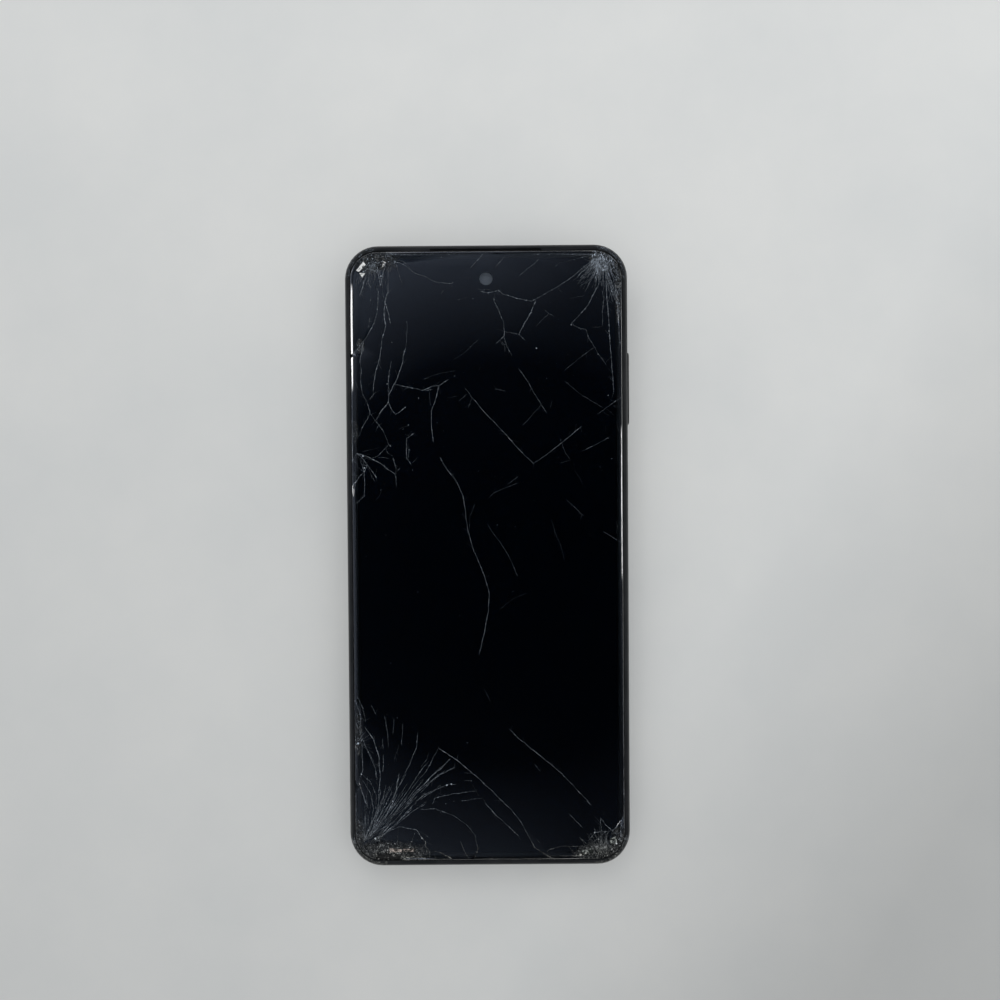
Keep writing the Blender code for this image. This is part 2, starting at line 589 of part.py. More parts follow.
BOSS_INSET = 3.8
BOARD_INNER_X = ISLAND_X - ISLAND_WIDTH / 2 - BOARD_ISLAND_GAP
BOARD_NOTCH_X = FRONT_BODY / 2 + BOARD_NOTCH_GAP
BOSSES_TOP = (
    (-CAVITY_X + BOSS_INSET, CAVITY_Y - BOSS_INSET),
    ((BOARD_NOTCH_X + BOARD_INNER_X) / 2, CAVITY_Y - BOSS_INSET),
    (-CAVITY_X + BOSS_INSET, TOP_ZONE_Y + BOSS_INSET),
    (BOARD_INNER_X - 20.0, TOP_ZONE_Y + BOSS_INSET),
    (BOARD_INNER_X + 4.5, TOP_ZONE_Y + 3.0),
)
BOSSES_BOTTOM = (
    (-CAVITY_X + BOSS_INSET, BOTTOM_ZONE_Y - 3.2),
    (-CAVITY_X + BOSS_INSET, -CAVITY_Y + BOSS_INSET),
    (-6.0, BOTTOM_ZONE_Y - 5.0),
    (18.0, BOTTOM_ZONE_Y - 5.0),
    (CAVITY_X - BOSS_INSET, -CAVITY_Y + BOSS_INSET),
)


def key_slot(y, length):
    """Room for one side key: its slot through the wall and the recess for its flange."""
    slot = along_x(stadium(length + 2 * KEY_PLAY, KEY_HEIGHT + 2 * KEY_PLAY), KEY_X, HALF_WIDTH + 1, y, KEY_Z)
    recess_length = length + 2 * KEY_FLANGE_OVERHANG + 4 * KEY_PLAY
    recess = along_x(rounded(recess_length / 2, KEY_HEIGHT / 2 + KEY_PLAY + 0.05, 0.2, 1),
                     CAVITY_X - 1, CAVITY_X + KEY_RECESS, y, KEY_Z)
    return slot, recess


def make_frame():
    rings = [body_ring(inset, frame_height(share)) for share, inset in SIDE_PROFILE]
    frame = add_object("mid_frame", mesh_of("mid_frame", loft(rings)))
    below = FRAME_BOTTOM_Z - 1
    glass_room = rounded(GLASS_HALF_X + FIT, GLASS_HALF_Y + FIT, GLASS_RADIUS + FIT)
    boolean(frame, "display pocket", prism(glass_room, PLATE_TOP_Z, FRAME_TOP_Z + 1))
    top_zone = rounded(CAVITY_X, TOP_ZONE / 2, POCKET_RADIUS, 6, (0, CAVITY_Y - TOP_ZONE / 2))
    boolean(frame, "board pocket", prism(top_zone, below, PLATE_BOTTOM_Z))
    bottom_zone = rounded(CAVITY_X, BOTTOM_ZONE / 2, POCKET_RADIUS, 6, (0, BOTTOM_ZONE / 2 - CAVITY_Y))
    boolean(frame, "speaker pocket", prism(bottom_zone, below, PLATE_BOTTOM_Z))
    cell = rectangle(-CAVITY_X, CHANNEL_X - RIB, BOTTOM_ZONE_Y + RIB, TOP_ZONE_Y - RIB)
    boolean(frame, "battery pocket", prism(cell, below, PLATE_BOTTOM_Z))
    channel = rectangle(CHANNEL_X, CAVITY_X, BOTTOM_ZONE_Y - POCKET_RADIUS, TOP_ZONE_Y + POCKET_RADIUS)
    boolean(frame, "cable channel", prism(channel, below, PLATE_BOTTOM_Z))
    posts = [prism(circle(x, y, BOSS_DIAMETER, 14), PLATE_BOTTOM_Z - BOSS_DEPTH, PLATE_BOTTOM_Z + 0.3)
             for x, y in BOSSES_TOP + BOSSES_BOTTOM]
    boolean(frame, "screw posts", merged(*posts), "UNION")
    bores = [prism(circle(x, y, SCREW_SHANK + 0.3, 8), PLATE_BOTTOM_Z - BOSS_DEPTH - 1,
                   PLATE_BOTTOM_Z - BOSS_DEPTH + SCREW_LENGTH)
             for x, y in BOSSES_TOP + BOSSES_BOTTOM]
    boolean(frame, "screw bores", merged(*bores))
    for label, y, length in (("rocker", ROCKER_Y, ROCKER_LENGTH), ("power", POWER_Y, POWER_LENGTH)):
        slot, recess = key_slot(y, length)
        boolean(frame, f"{label} slot", slot)
        boolean(frame, f"{label} recess", recess)
    tray_face = along_x(rounded(TRAY_WIDTH / 2 + FIT, TRAY_FACE_HEIGHT / 2 + FIT, 0.8, 4),
                        -HALF_WIDTH - 1, -HALF_WIDTH + TRAY_FACE + FIT, TRAY_Y, TRAY_Z)
    boolean(frame, "tray mouth", tray_face)
    tray_way = along_x(rounded(TRAY_WIDTH / 2 - 0.5, TRAY_PLATE / 2 + 0.2, 0.1, 1),
                       -HALF_WIDTH, -CAVITY_X + 1, TRAY_Y, TRAY_Z)
    boolean(frame, "tray way", tray_way)
    usb_room = along_y(stadium(USB_WIDTH + 2 * FIT, USB_HEIGHT + 2 * FIT, 6), -HALF_LENGTH - 1,
                       -CAVITY_Y + 1, 0, USB_Z)
    boolean(frame, "charging mouth", usb_room)
    small = [along_y(circle(0, 0, SPEAKER_HOLE, 10), -HALF_LENGTH - 1, -CAVITY_Y + 1,
                     SPEAKER_HOLE_START + SPEAKER_HOLE_PITCH * i, USB_Z) for i in range(SPEAKER_HOLES)]
    small.append(along_y(circle(0, 0, MICROPHONE_HOLE, 10), -HALF_LENGTH - 1, -CAVITY_Y + 1,
                         MICROPHONE_X, USB_Z))
    boolean(frame, "sound holes", merged(*small))
    earpiece = rounded(EARPIECE_LENGTH / 2, EARPIECE_SLIT / 2, 0.2, 3,
                       (0, GLASS_HALF_Y + FIT + EARPIECE_SLIT / 2 - 0.05))
    boolean(frame, "earpiece slit", prism(earpiece, EARPIECE_FLOOR_Z, FRAME_TOP_Z + 1))
    lens_hole = circle(0, FRONT_CAMERA_Y, FRONT_BARREL + 0.8, 20)
    flex_way = rectangle(-DISPLAY_FLEX_WIDTH / 2 - 0.6, DISPLAY_FLEX_WIDTH / 2 + 0.6,
                         DISPLAY_FLEX_Y - 0.6, DISPLAY_FLEX_Y + 0.9)
    boolean(frame, "plate holes", merged(prism(lens_hole, PLATE_BOTTOM_Z - 1, PLATE_TOP_Z + 1),
                                         prism(flex_way, PLATE_BOTTOM_Z - 1, PLATE_TOP_Z + 1)))
    flex_seat = rectangle(-DISPLAY_FLEX_WIDTH / 2 - 0.6, DISPLAY_FLEX_WIDTH / 2 + 0.6,
                          DISPLAY_FLEX_Y - DISPLAY_FLEX_REACH - 0.6, DISPLAY_FLEX_Y)
    boolean(frame, "flex seat", prism(flex_seat, PLATE_TOP_Z - FLEX - 0.15, PLATE_TOP_Z + 1))
    return finish(smooth(frame), (0.045, 0.047, 0.052), 0.38)


def outline_depth(x, y, half_x, half_y, radius):
    """How far a point lies inside a rounded rectangle; negative outside."""
    dx = abs(x) - (half_x - radius)
    dy = abs(y) - (half_y - radius)
    outside = math.hypot(max(dx, 0), max(dy, 0))
    return radius - outside - min(max(dx, dy), 0)


def traced(point):
    """A traced point on the glass of this body: the longest cracks end at its edge."""
    return (point[0] * GLASS_HALF_X / TRACED_REACH_X, point[1] * GLASS_HALF_Y / TRACED_REACH_Y)


def inside(point, outline):
    x, y = point
    found = False
    for (x0, y0), (x1, y1) in zip(outline, outline[1:] + outline[:1]):
        if (y0 > y) != (y1 > y) and x < x0 + (y - y0) / (y1 - y0) * (x1 - x0):
            found = not found
    return found


def grown(outline, by):
    """An outline moved outwards from its middle."""
    cx = sum(x for x, _ in outline) / len(outline)
    cy = sum(y for _, y in outline) / len(outline)
    points = []
    for x, y in outline:
        away = math.hypot(x - cx, y - cy)
        points.append((x + (x - cx) / away * by, y + (y - cy) / away * by))
    return points


def fan_cracks(pick):
    """Fine rays from each corner's point of impact, each bent once."""
    rays = []
    for origin, first, last, spacing in FANS:
        gaps = max(round(math.dist(first, last) / spacing), 1)
        for i in range(gaps + 1):
            share = i / gaps
            reach = pick.uniform(0.72, 1.08)
            tip = [o + (f + (l - f) * share - o) * reach for o, f, l in zip(origin, first, last)]
            start = pick.uniform(0.06, 0.22)
            bend = pick.uniform(0.45, 0.65)
            sway = pick.uniform(-FAN_SWAY, FAN_SWAY) / math.dist(tip, origin)
            across = (tip[1] - origin[1], origin[0] - tip[0])
            middle = [o + (t - o) * bend + a * sway for o, t, a in zip(origin, tip, across)]
            near = [o + (t - o) * start for o, t in zip(origin, tip)]
            rays.append((pick.uniform(0.6, 1.0), tuple(near), tuple(middle), tuple(tip)))
    return rays


def with_taper(points):
    """The crack with a point near each tip, from where its groove runs out."""
    line = list(points)
    for end, inner in ((0, 1), (-1, -2)):
        tip = Vector(line[end])
        length = (Vector(line[inner]) - tip).length
        spot = tip.lerp(Vector(line[inner]), min(TIP_TAPER / length, 0.4))
        line.insert(1 if end == 0 else len(line) - 1, (spot.x, spot.y))
    return line


def offset_line(points, by):
    """A line beside a crack, moved over by a distance and drawn to its ends."""
    moved = [points[0]]
    for before, here, after in zip(points, points[1:], points[2:]):
        way = (Vector(after) - Vector(before)).normalized()
        moved.append((here[0] - way.y * by, here[1] + way.x * by))
    return moved + [points[-1]]


class GlassPlan:
    """Points and lines in the plane of the glass, to be filled with triangles."""

    def __init__(self):
        self.points = []
        self.edges = []

    def line(self, points, closed=False):
        first = len(self.points)
        self.points += [Vector(point) for point in points]
        last = len(self.points)
        self.edges += [(i, i + 1) for i in range(first, last - 1)]
        if closed:
            self.edges.append((last - 1, first))

    def filled(self):
        result = delaunay_2d_cdt(self.points, self.edges, [], 0, 0.012)
        return [tuple(point) for point in result[0]], [tuple(face) for face in result[2]]


def glass_cracks(pick):
    cracks = []
    for group in CRACKS + (fan_cracks(pick),):
        for strength, *points in group:
            line = [traced(point) for point in points]
            kept = [point for point in line
                    if outline_depth(*point, GLASS_HALF_X, GLASS_HALF_Y, GLASS_RADIUS) > 0.05]
            if len(kept) > 1:
                cracks.append((strength, with_taper(kept)))
    return cracks


def groove_drop(points, cracks):
    """How deep the crack grooves are at each point."""
    spots = np.array(points)
    drop = np.zeros(len(spots))
    for strength, line in cracks:
        depths = [0] + [GROOVE_DEPTH * strength] * (len(line) - 2) + [0]
        for start, end, first, last in zip(line, line[1:], depths, depths[1:]):
            a = np.array(start)
            way = np.array(end) - a
            along = np.clip((spots - a) @ way / (way @ way), 0, 1)
            away = np.linalg.norm(spots - a - along[:, None] * way, axis=1)
            near = np.clip(1 - away / GROOVE_HALF_WIDTH, 0, 1)
            drop = np.maximum(drop, (first + (last - first) * along) * near)
    return drop


def edge_drop(depth):
    """How far the rounded edge of the glass falls away at a depth inside its outline."""
    share = min(max(depth / GLASS_EDGE_WIDTH, 0), 1)
    return GLASS_EDGE_DROP * (1 - math.sqrt(1 - (1 - share) ** 2))


def make_glass():
    """Cracks are grooves in one cracked sheet, held together by the layer under it."""
    pick = random.Random(7)
    cracks = glass_cracks(pick)
    crushed = [[traced(point) for point in outline] for outline in CRUSHED]
    holes = [[traced(point) for point in outline] for outline in CHIPS]
    holes += [grown([traced(point) for point in outline], SHARD_GAP) for outline, _ in SHARDS.values()]
    plan = GlassPlan()
    for inset in (0, 0.12, 0.42, GLASS_EDGE_WIDTH):
        steps = CORNER_STEPS if inset < 0.3 else 6
        plan.line(rounded(GLASS_HALF_X - inset, GLASS_HALF_Y - inset, GLASS_RADIUS - inset, steps), True)
    for _, line in cracks:
        for by in (-GROOVE_HALF_WIDTH, 0, GROOVE_HALF_WIDTH):
            plan.line(offset_line(line, by) if by else line)
    for outline in holes:
        plan.line(outline, True)
    for outline in crushed:
        xs = [x for x, _ in outline]
        ys = [y for _, y in outline]
        for i in range(int((max(xs) - min(xs)) / RUBBLE_SPACING) + 1):
            for j in range(int((max(ys) - min(ys)) / RUBBLE_SPACING) + 1):
                spot = (min(xs) + (i + pick.random()) * RUBBLE_SPACING,
                        min(ys) + (j + pick.random()) * RUBBLE_SPACING)
                depth = outline_depth(*spot, GLASS_HALF_X, GLASS_HALF_Y, GLASS_RADIUS)
                if inside(spot, outline) and depth > 0.3:
                    plan.line([spot])
    points, faces = plan.filled()
    kept = []
    for face in faces:
        cx = sum(points[i][0] for i in face) / 3
        cy = sum(points[i][1] for i in face) / 3
        depth = outline_depth(cx, cy, GLASS_HALF_X, GLASS_HALF_Y, GLASS_RADIUS)
        if depth > 0.001 and not any(inside((cx, cy), hole) for hole in holes):
            kept.append(face)
    grooves = groove_drop(points, cracks)
    heights = []
    for point, groove in zip(points, grooves):
        depth = outline_depth(*point, GLASS_HALF_X, GLASS_HALF_Y, GLASS_RADIUS)
        rubble = pick.random() * RUBBLE_DEPTH if any(inside(point, o) for o in crushed) else 0
        top = GLASS_TOP_Z - edge_drop(depth) - max(groove, rubble)
        heights.append(max(top, GLASS_BOTTOM_Z + GLASS_LEAST))
    return finish(glass_solid(points, kept, heights), (0.02, 0.024, 0.03), 0.06)


def boundary_loops(faces):
    """The open edges of a flat triangulation, as loops of point numbers."""
    following = {}
    edges = {(face[i], face[(i + 1) % 3]) for face in faces for i in range(3)}
    for a, b in edges:
        if (b, a) not in edges:
            following.setdefault(a, []).append(b)
    loops = []
    while following:
        start = next(iter(following))
        loop = [start]
        here = following[start].pop()
        while here != start:
            loop.append(here)
            here = following[here].pop()
        following = {a: bs for a, bs in following.items() if bs}
        loops.append(loop)
    return loops


def largest_piece(faces):
    """The biggest run of triangles that share edges."""
    owner = {}
    for number, face in enumerate(faces):
        for i in range(3):
            owner.setdefault(frozenset((face[i], face[(i + 1) % 3])), []).append(number)
    group = list(range(len(faces)))

    def root(number):
        while group[number] != number:
            group[number] = group[group[number]]
            number = group[number]
        return number

    for pair in owner.values():
        if len(pair) == 2:
            group[root(pair[0])] = root(pair[1])
    sizes = {}
    for number in range(len(faces)):
        sizes.setdefault(root(number), []).append(faces[number])
    return max(sizes.values(), key=len)


def glass_solid(points, faces, heights):
    faces = largest_piece(faces)
    loops = boundary_loops(faces)
    bm = bmesh.new()
    used = sorted({i for face in faces for i in face})
    top = {i: bm.verts.new((*points[i], heights[i])) for i in used}
    for face in faces:
        bm.faces.new([top[i] for i in face])
    low = {i: bm.verts.new((*points[i], GLASS_BOTTOM_Z)) for loop in loops for i in loop}
    for loop in loops:
        for a, b in zip(loop, loop[1:] + loop[:1]):
            bm.faces.new((top[b], top[a], low[a], low[b]))
    rim = [i for loop in loops for i in loop]
    number = {i: n for n, i in enumerate(rim)}
    edges = [(number[a], number[b]) for loop in loops for a, b in zip(loop, loop[1:] + loop[:1])]
    under = delaunay_2d_cdt([Vector(points[i]) for i in rim], edges, [], 0, 1e-6)
    outlines = [[points[i] for i in loop] for loop in loops]
    for face in under[2]:
        cx = sum(under[0][i][0] for i in face) / 3
        cy = sum(under[0][i][1] for i in face) / 3
        if sum(inside((cx, cy), outline) for outline in outlines) % 2:
            bm.faces.new([low[rim[under[3][i][0]]] for i in reversed(face)])
    return add_object("cover_glass", mesh_of("cover_glass", bm))


def make_shards():
    for name, (outline, tilt) in SHARDS.items():
        points = [traced(point) for point in outline]
        cx = sum(x for x, _ in points) / len(points)
        cy = sum(y for _, y in points) / len(points)
        lift = GLASS_BOTTOM_Z + 0.1
        way = Vector((points[1][0] - points[0][0], points[1][1] - points[0][1], 0))
        bm = prism([(x - cx, y - cy) for x, y in points], 0, GLASS_THICKNESS - 0.15)
        turned(bm, Matrix.Translation((cx, cy, lift)) @ Matrix.Rotation(math.radians(tilt), 4, way))
        finish(add_object(name, mesh_of(name, bm)), (0.5, 0.52, 0.54), 0.15)


def make_display():
    outer_x = GLASS_HALF_X - ADHESIVE_INSET
    outer_y = GLASS_HALF_Y - ADHESIVE_INSET
    outer_r = GLASS_RADIUS - ADHESIVE_INSET
    ring = slab("display_adhesive", rounded(outer_x, outer_y, outer_r), PANEL_BOTTOM_Z, PANEL_TOP_Z)
    inner = rounded(outer_x - ADHESIVE_WIDTH, outer_y - ADHESIVE_WIDTH, outer_r - ADHESIVE_WIDTH)
    boolean(ring, "middle", prism(inner, PANEL_BOTTOM_Z - 1, PANEL_TOP_Z + 1))
    finish(ring, (0.012, 0.012, 0.013), 0.8)
    side = ADHESIVE_WIDTH + PANEL_GAP
    panel = slab("display_panel", rounded(outer_x - side, outer_y - side, outer_r - side),
                 PANEL_BOTTOM_Z, PANEL_TOP_Z)
    boolean(panel, "punch hole", prism(circle(0, FRONT_CAMERA_Y, PUNCH_HOLE, 24),
                                       PANEL_BOTTOM_Z - 1, PANEL_TOP_Z + 1))
    finish(panel, (0.004, 0.006, 0.010), 0.25)
    top = PLATE_TOP_Z - 0.05
    tail = BOARD_Z - 0.3
    y = DISPLAY_FLEX_Y
    profile = [(y - DISPLAY_FLEX_REACH, top), (y - DISPLAY_FLEX_REACH, top - FLEX), (y, top - FLEX),
               (y, tail), (y - 5.0, tail), (y - 5.0, tail - FLEX), (y + FLEX, tail - FLEX),
               (y + FLEX, top)]
    half = DISPLAY_FLEX_WIDTH / 2
    flex = loft([[(x, py, pz) for py, pz in profile] for x in (-half, half)])
    finish(add_object("display_flex", mesh_of("display_flex", flex)), (0.35, 0.16, 0.03), 0.4)
    mesh_y = GLASS_HALF_Y + FIT + EARPIECE_SLIT / 2 - 0.05
    strip = slab("earpiece_mesh", rounded(EARPIECE_LENGTH / 2 - 0.15, EARPIECE_SLIT / 2 - 0.1, 0.1, 2,
                                          (0, mesh_y)),
                 EARPIECE_FLOOR_Z + 0.05, EARPIECE_FLOOR_Z + 0.35)
    finish(strip, (0.02, 0.02, 0.02), 0.7)


def make_rear_cover():
    flat_inset = 4.6
    span = REAR_COVER_RISE
    curve = ((flat_inset, 0.0), (3.4, 0.06), (2.3, 0.22), (1.5, 0.48), (1.05, 0.78), (0.9, 1.0))
    outer = [body_ring(inset, REAR_FACE_Z + share * span) for inset, share in curve]
    cover = add_object("rear_cover", mesh_of("rear_cover", loft(outer)))
    inner = [body_ring(inset + REAR_COVER_WALL, COVER_FLOOR_Z + share * (span - REAR_COVER_WALL))
             for inset, share in curve[:-1]]
    inner.append(body_ring(0.9 + REAR_COVER_WALL, PARTING_Z + 1))
    boolean(cover, "inside", loft(inner))
    cuts = [prism(circle(x, y, barrel + 0.8, 24), REAR_FACE_Z - 1, COVER_FLOOR_Z + 1)
            for _, x, y, _, barrel in cameras()]
    cuts.append(prism(circle(*flash_place(), FLASH_DIAMETER + 0.3, 16), REAR_FACE_Z - 1, COVER_FLOOR_Z + 1))
    boolean(cover, "camera holes", merged(*cuts))
    finish(smooth(cover), (0.03, 0.031, 0.034), 0.3)


def cameras():
    """Label, place, body size and barrel diameter of each camera, in a row down the island."""
    x = ISLAND_X + ISLAND_WIDTH / 2 - CAMERA_FROM_ISLAND_SIDE
    top = ISLAND_Y + ISLAND_LENGTH / 2 - MAIN_CAMERA_FROM_ISLAND_TOP
    end = ISLAND_Y - ISLAND_LENGTH / 2 + MACRO_CAMERA_FROM_ISLAND_END
    middle = (top + end) / 2 - WIDE_CAMERA_BELOW_MIDDLE
    return [("main", x, top, *MAIN_CAMERA), ("wide", x, middle, *WIDE_CAMERA),
            ("macro", x, end, *MACRO_CAMERA)]


def flash_place():
    return (ISLAND_X - ISLAND_WIDTH / 2 + FLASH_FROM_ISLAND_SIDE,
            ISLAND_Y + ISLAND_LENGTH / 2 - FLASH_FROM_ISLAND_TOP)


def make_camera_island():
    outline = [rounded(ISLAND_WIDTH / 2 - inset, ISLAND_LENGTH / 2 - inset, ISLAND_RADIUS - inset, 8,
                       (ISLAND_X, ISLAND_Y)) for inset in (0.5, 0.15, 0.0, 0.0)]
    heights = (0.0, 0.12, 0.45, ISLAND_HEIGHT)
    island = add_object("camera_island", mesh_of(
        "camera_island", loft([at_height(ring, z) for ring, z in zip(outline, heights)])))
    wide = [prism(circle(x, y, barrel + 1.6 + WINDOW_LIP, 28), -1, WINDOW_DEPTH + WINDOW_THICKNESS + 0.05)
            for _, x, y, _, barrel in cameras()]
    narrow = [prism(circle(x, y, barrel + 0.8, 28), -1, ISLAND_HEIGHT + 1)
              for _, x, y, _, barrel in cameras()]
    flash = [prism(circle(*flash_place(), FLASH_DIAMETER + 0.3, 16), -1, ISLAND_HEIGHT + 1)]
    boolean(island, "window seats", merged(*wide))
    boolean(island, "light ways", merged(*narrow, *flash))
    finish(smooth(island), (0.02, 0.021, 0.023), 0.22, 0.3)
    for label, x, y, body, barrel in cameras():
        window = slab(f"camera_window_{label}", circle(x, y, barrel + 1.3 + WINDOW_LIP, 28),
                      WINDOW_DEPTH, WINDOW_DEPTH + WINDOW_THICKNESS)
        finish(window, (0.01, 0.012, 0.016), 0.05)
        camera = slab(f"{label}_camera", rounded(body / 2, body / 2, 0.6, 3, (x, y)),
                      COVER_FLOOR_Z + 0.3, PLATE_BOTTOM_Z - 0.2)
        boolean(camera, "barrel", prism(circle(x, y, barrel, 24), WINDOW_DEPTH + WINDOW_THICKNESS + 0.3,
                                        COVER_FLOOR_Z + 0.8), "UNION")
        boolean(camera, "lens mouth", prism(circle(x, y, barrel * 0.55, 20), 0,
                                            WINDOW_DEPTH + WINDOW_THICKNESS + 0.8))
        finish(smooth(camera), (0.02, 0.02, 0.022), 0.35, 0.2)
    lens = slab("flash_lens", circle(*flash_place(), FLASH_DIAMETER, 20), WINDOW_DEPTH * 0.5,
                COVER_FLOOR_Z + 0.6)
    finish(smooth(lens), (0.85, 0.82, 0.7), 0.3)


def board_notch_y():
    return FRONT_CAMERA_Y - FRONT_BODY / 2 - BOARD_NOTCH_GAP


def board_outline(margin):
    """The upper board: an L round the cameras, notched for the front camera and the earpiece."""
    right = CAVITY_X - BOARD_KEY_GAP - margin
    low = TOP_ZONE_Y + BOARD_EDGE_GAP + margin
    high = CAVITY_Y - BOARD_EDGE_GAP - margin
    left = -CAVITY_X + BOARD_EDGE_GAP + margin
    arm = TOP_ZONE_Y + BOARD_EDGE_GAP + BOARD_ARM - margin
    inner = BOARD_INNER_X - margin
    notch_x0 = EARPIECE_SPEAKER_X0 - BOARD_NOTCH_GAP - margin
    notch_x1 = BOARD_NOTCH_X + margin
    notch_y = board_notch_y() - margin
    return [(left, low + CORNER_CUT), (left + CORNER_CUT, low), (right, low), (right, arm), (inner, arm),
            (inner, high), (notch_x1, high), (notch_x1, notch_y), (notch_x0, notch_y), (notch_x0, high),
            (left + CORNER_CUT, high), (left, high - CORNER_CUT)]


def screw_holes(places, z0, z1, diameter, steps=12):
    return merged(*[prism(circle(x, y, diameter, steps), z0, z1) for x, y in places])


def make_cover_plate(name, outline, places, colour):
    """A plastic plate over a board, sunk where the screw heads sit."""
    plate = slab(name, outline, PLATE_COVER_Z - COVER_PLATE, PLATE_COVER_Z)
    boolean(plate, "head seats", screw_holes(places, PLATE_COVER_Z - COVER_PLATE - 1,
                                             PLATE_COVER_Z - COVER_PLATE + 0.4, SCREW_HEAD + 0.5))
    boolean(plate, "screw ways", screw_holes(places, PLATE_COVER_Z - COVER_PLATE - 1,
                                             PLATE_COVER_Z + 1, SCREW_SHANK + 0.5))
    return finish(plate, colour, 0.6)


def make_boards():
    board = slab("main_board", board_outline(0), BOARD_Z, BOARD_TOP_Z)
    boolean(board, "post holes", screw_holes(BOSSES_TOP, BOARD_Z - 1, BOARD_TOP_Z + 1,
                                             BOSS_DIAMETER + POST_GAP))
    finish(board, (0.01, 0.06, 0.035), 0.45)
    make_cover_plate("antenna_cover", board_outline(0.2), BOSSES_TOP, (0.03, 0.03, 0.032))
    shield_z = BOARD_Z - CLEARANCE
    shield_x = BOARD_INNER_X - SHIELD_SIDE_GAP
    shield_low = TOP_ZONE_Y + BOSS_INSET + BOSS_DIAMETER / 2 + SHIELD_POST_GAP
    shield = slab("processor_shield", rectangle(shield_x - SHIELD_WIDTH, shield_x, shield_low,
                                                board_notch_y() - SHIELD_NOTCH_GAP),
                  shield_z - SHIELD_HEIGHT, shield_z)
    finish(soften(shield, 0.25), (0.6, 0.6, 0.58), 0.3, 0.9)
    power = slab("power_shield", rectangle(-CAVITY_X + 6.4, EARPIECE_SPEAKER_X0 - 1.8,
                                           TRAY_Y + TRAY_WIDTH / 2 + 2.0, CAVITY_Y - 2.2),
                 shield_z - SHIELD_HEIGHT, shield_z)
    finish(soften(power, 0.25), (0.6, 0.6, 0.58), 0.3, 0.9)
    left = -CAVITY_X + BOARD_EDGE_GAP
    low = -CAVITY_Y + BOARD_EDGE_GAP
    right = USB_WIDTH / 2 + 2.8
    high = low + CHARGE_BOARD_DEPTH
    charge = slab("charge_board", [(right, high), (left, high), (left, low + CORNER_CUT),
                                   (left + CORNER_CUT, low), (right, low)],
                  CHARGE_BOARD_Z, CHARGE_BOARD_Z + CHARGE_BOARD_THICKNESS)
    boolean(charge, "post hole", screw_holes(BOSSES_BOTTOM[1:2], BOARD_Z - 1, PLATE_BOTTOM_Z,
                                             BOSS_DIAMETER + POST_GAP))
    finish(charge, (0.01, 0.06, 0.035), 0.45)
    radius = POCKET_RADIUS - 0.5
    speaker_lid = rounded(CAVITY_X - 0.5, BOTTOM_ZONE / 2 - 0.5, radius, 5, (0, BOTTOM_ZONE / 2 - CAVITY_Y))
    make_cover_plate("speaker_cover", speaker_lid, BOSSES_BOTTOM, (0.03, 0.03, 0.032))


def make_screws():
    head_z = PLATE_COVER_Z - COVER_PLATE + 0.35
    for zone, places in (("top", BOSSES_TOP), ("bottom", BOSSES_BOTTOM)):
        for number, (x, y) in enumerate(places, 1):
            rings = [at_height(circle(x, y, width, 12), z) for width, z in (
                (SCREW_HEAD - 0.5, head_z - SCREW_HEAD_HEIGHT),
                (SCREW_HEAD, head_z - SCREW_HEAD_HEIGHT + 0.15),
                (SCREW_HEAD, head_z), (SCREW_SHANK, head_z + 0.02),
                (SCREW_SHANK, head_z + SCREW_LENGTH - 0.3),
                (SCREW_SHANK - 0.5, head_z + SCREW_LENGTH))]
            screw = add_object(f"screw_{zone}_{number}", mesh_of("screw", loft(rings)), (x, y, head_z))
            finish(smooth(screw), (0.35, 0.35, 0.36), 0.3, 0.9)


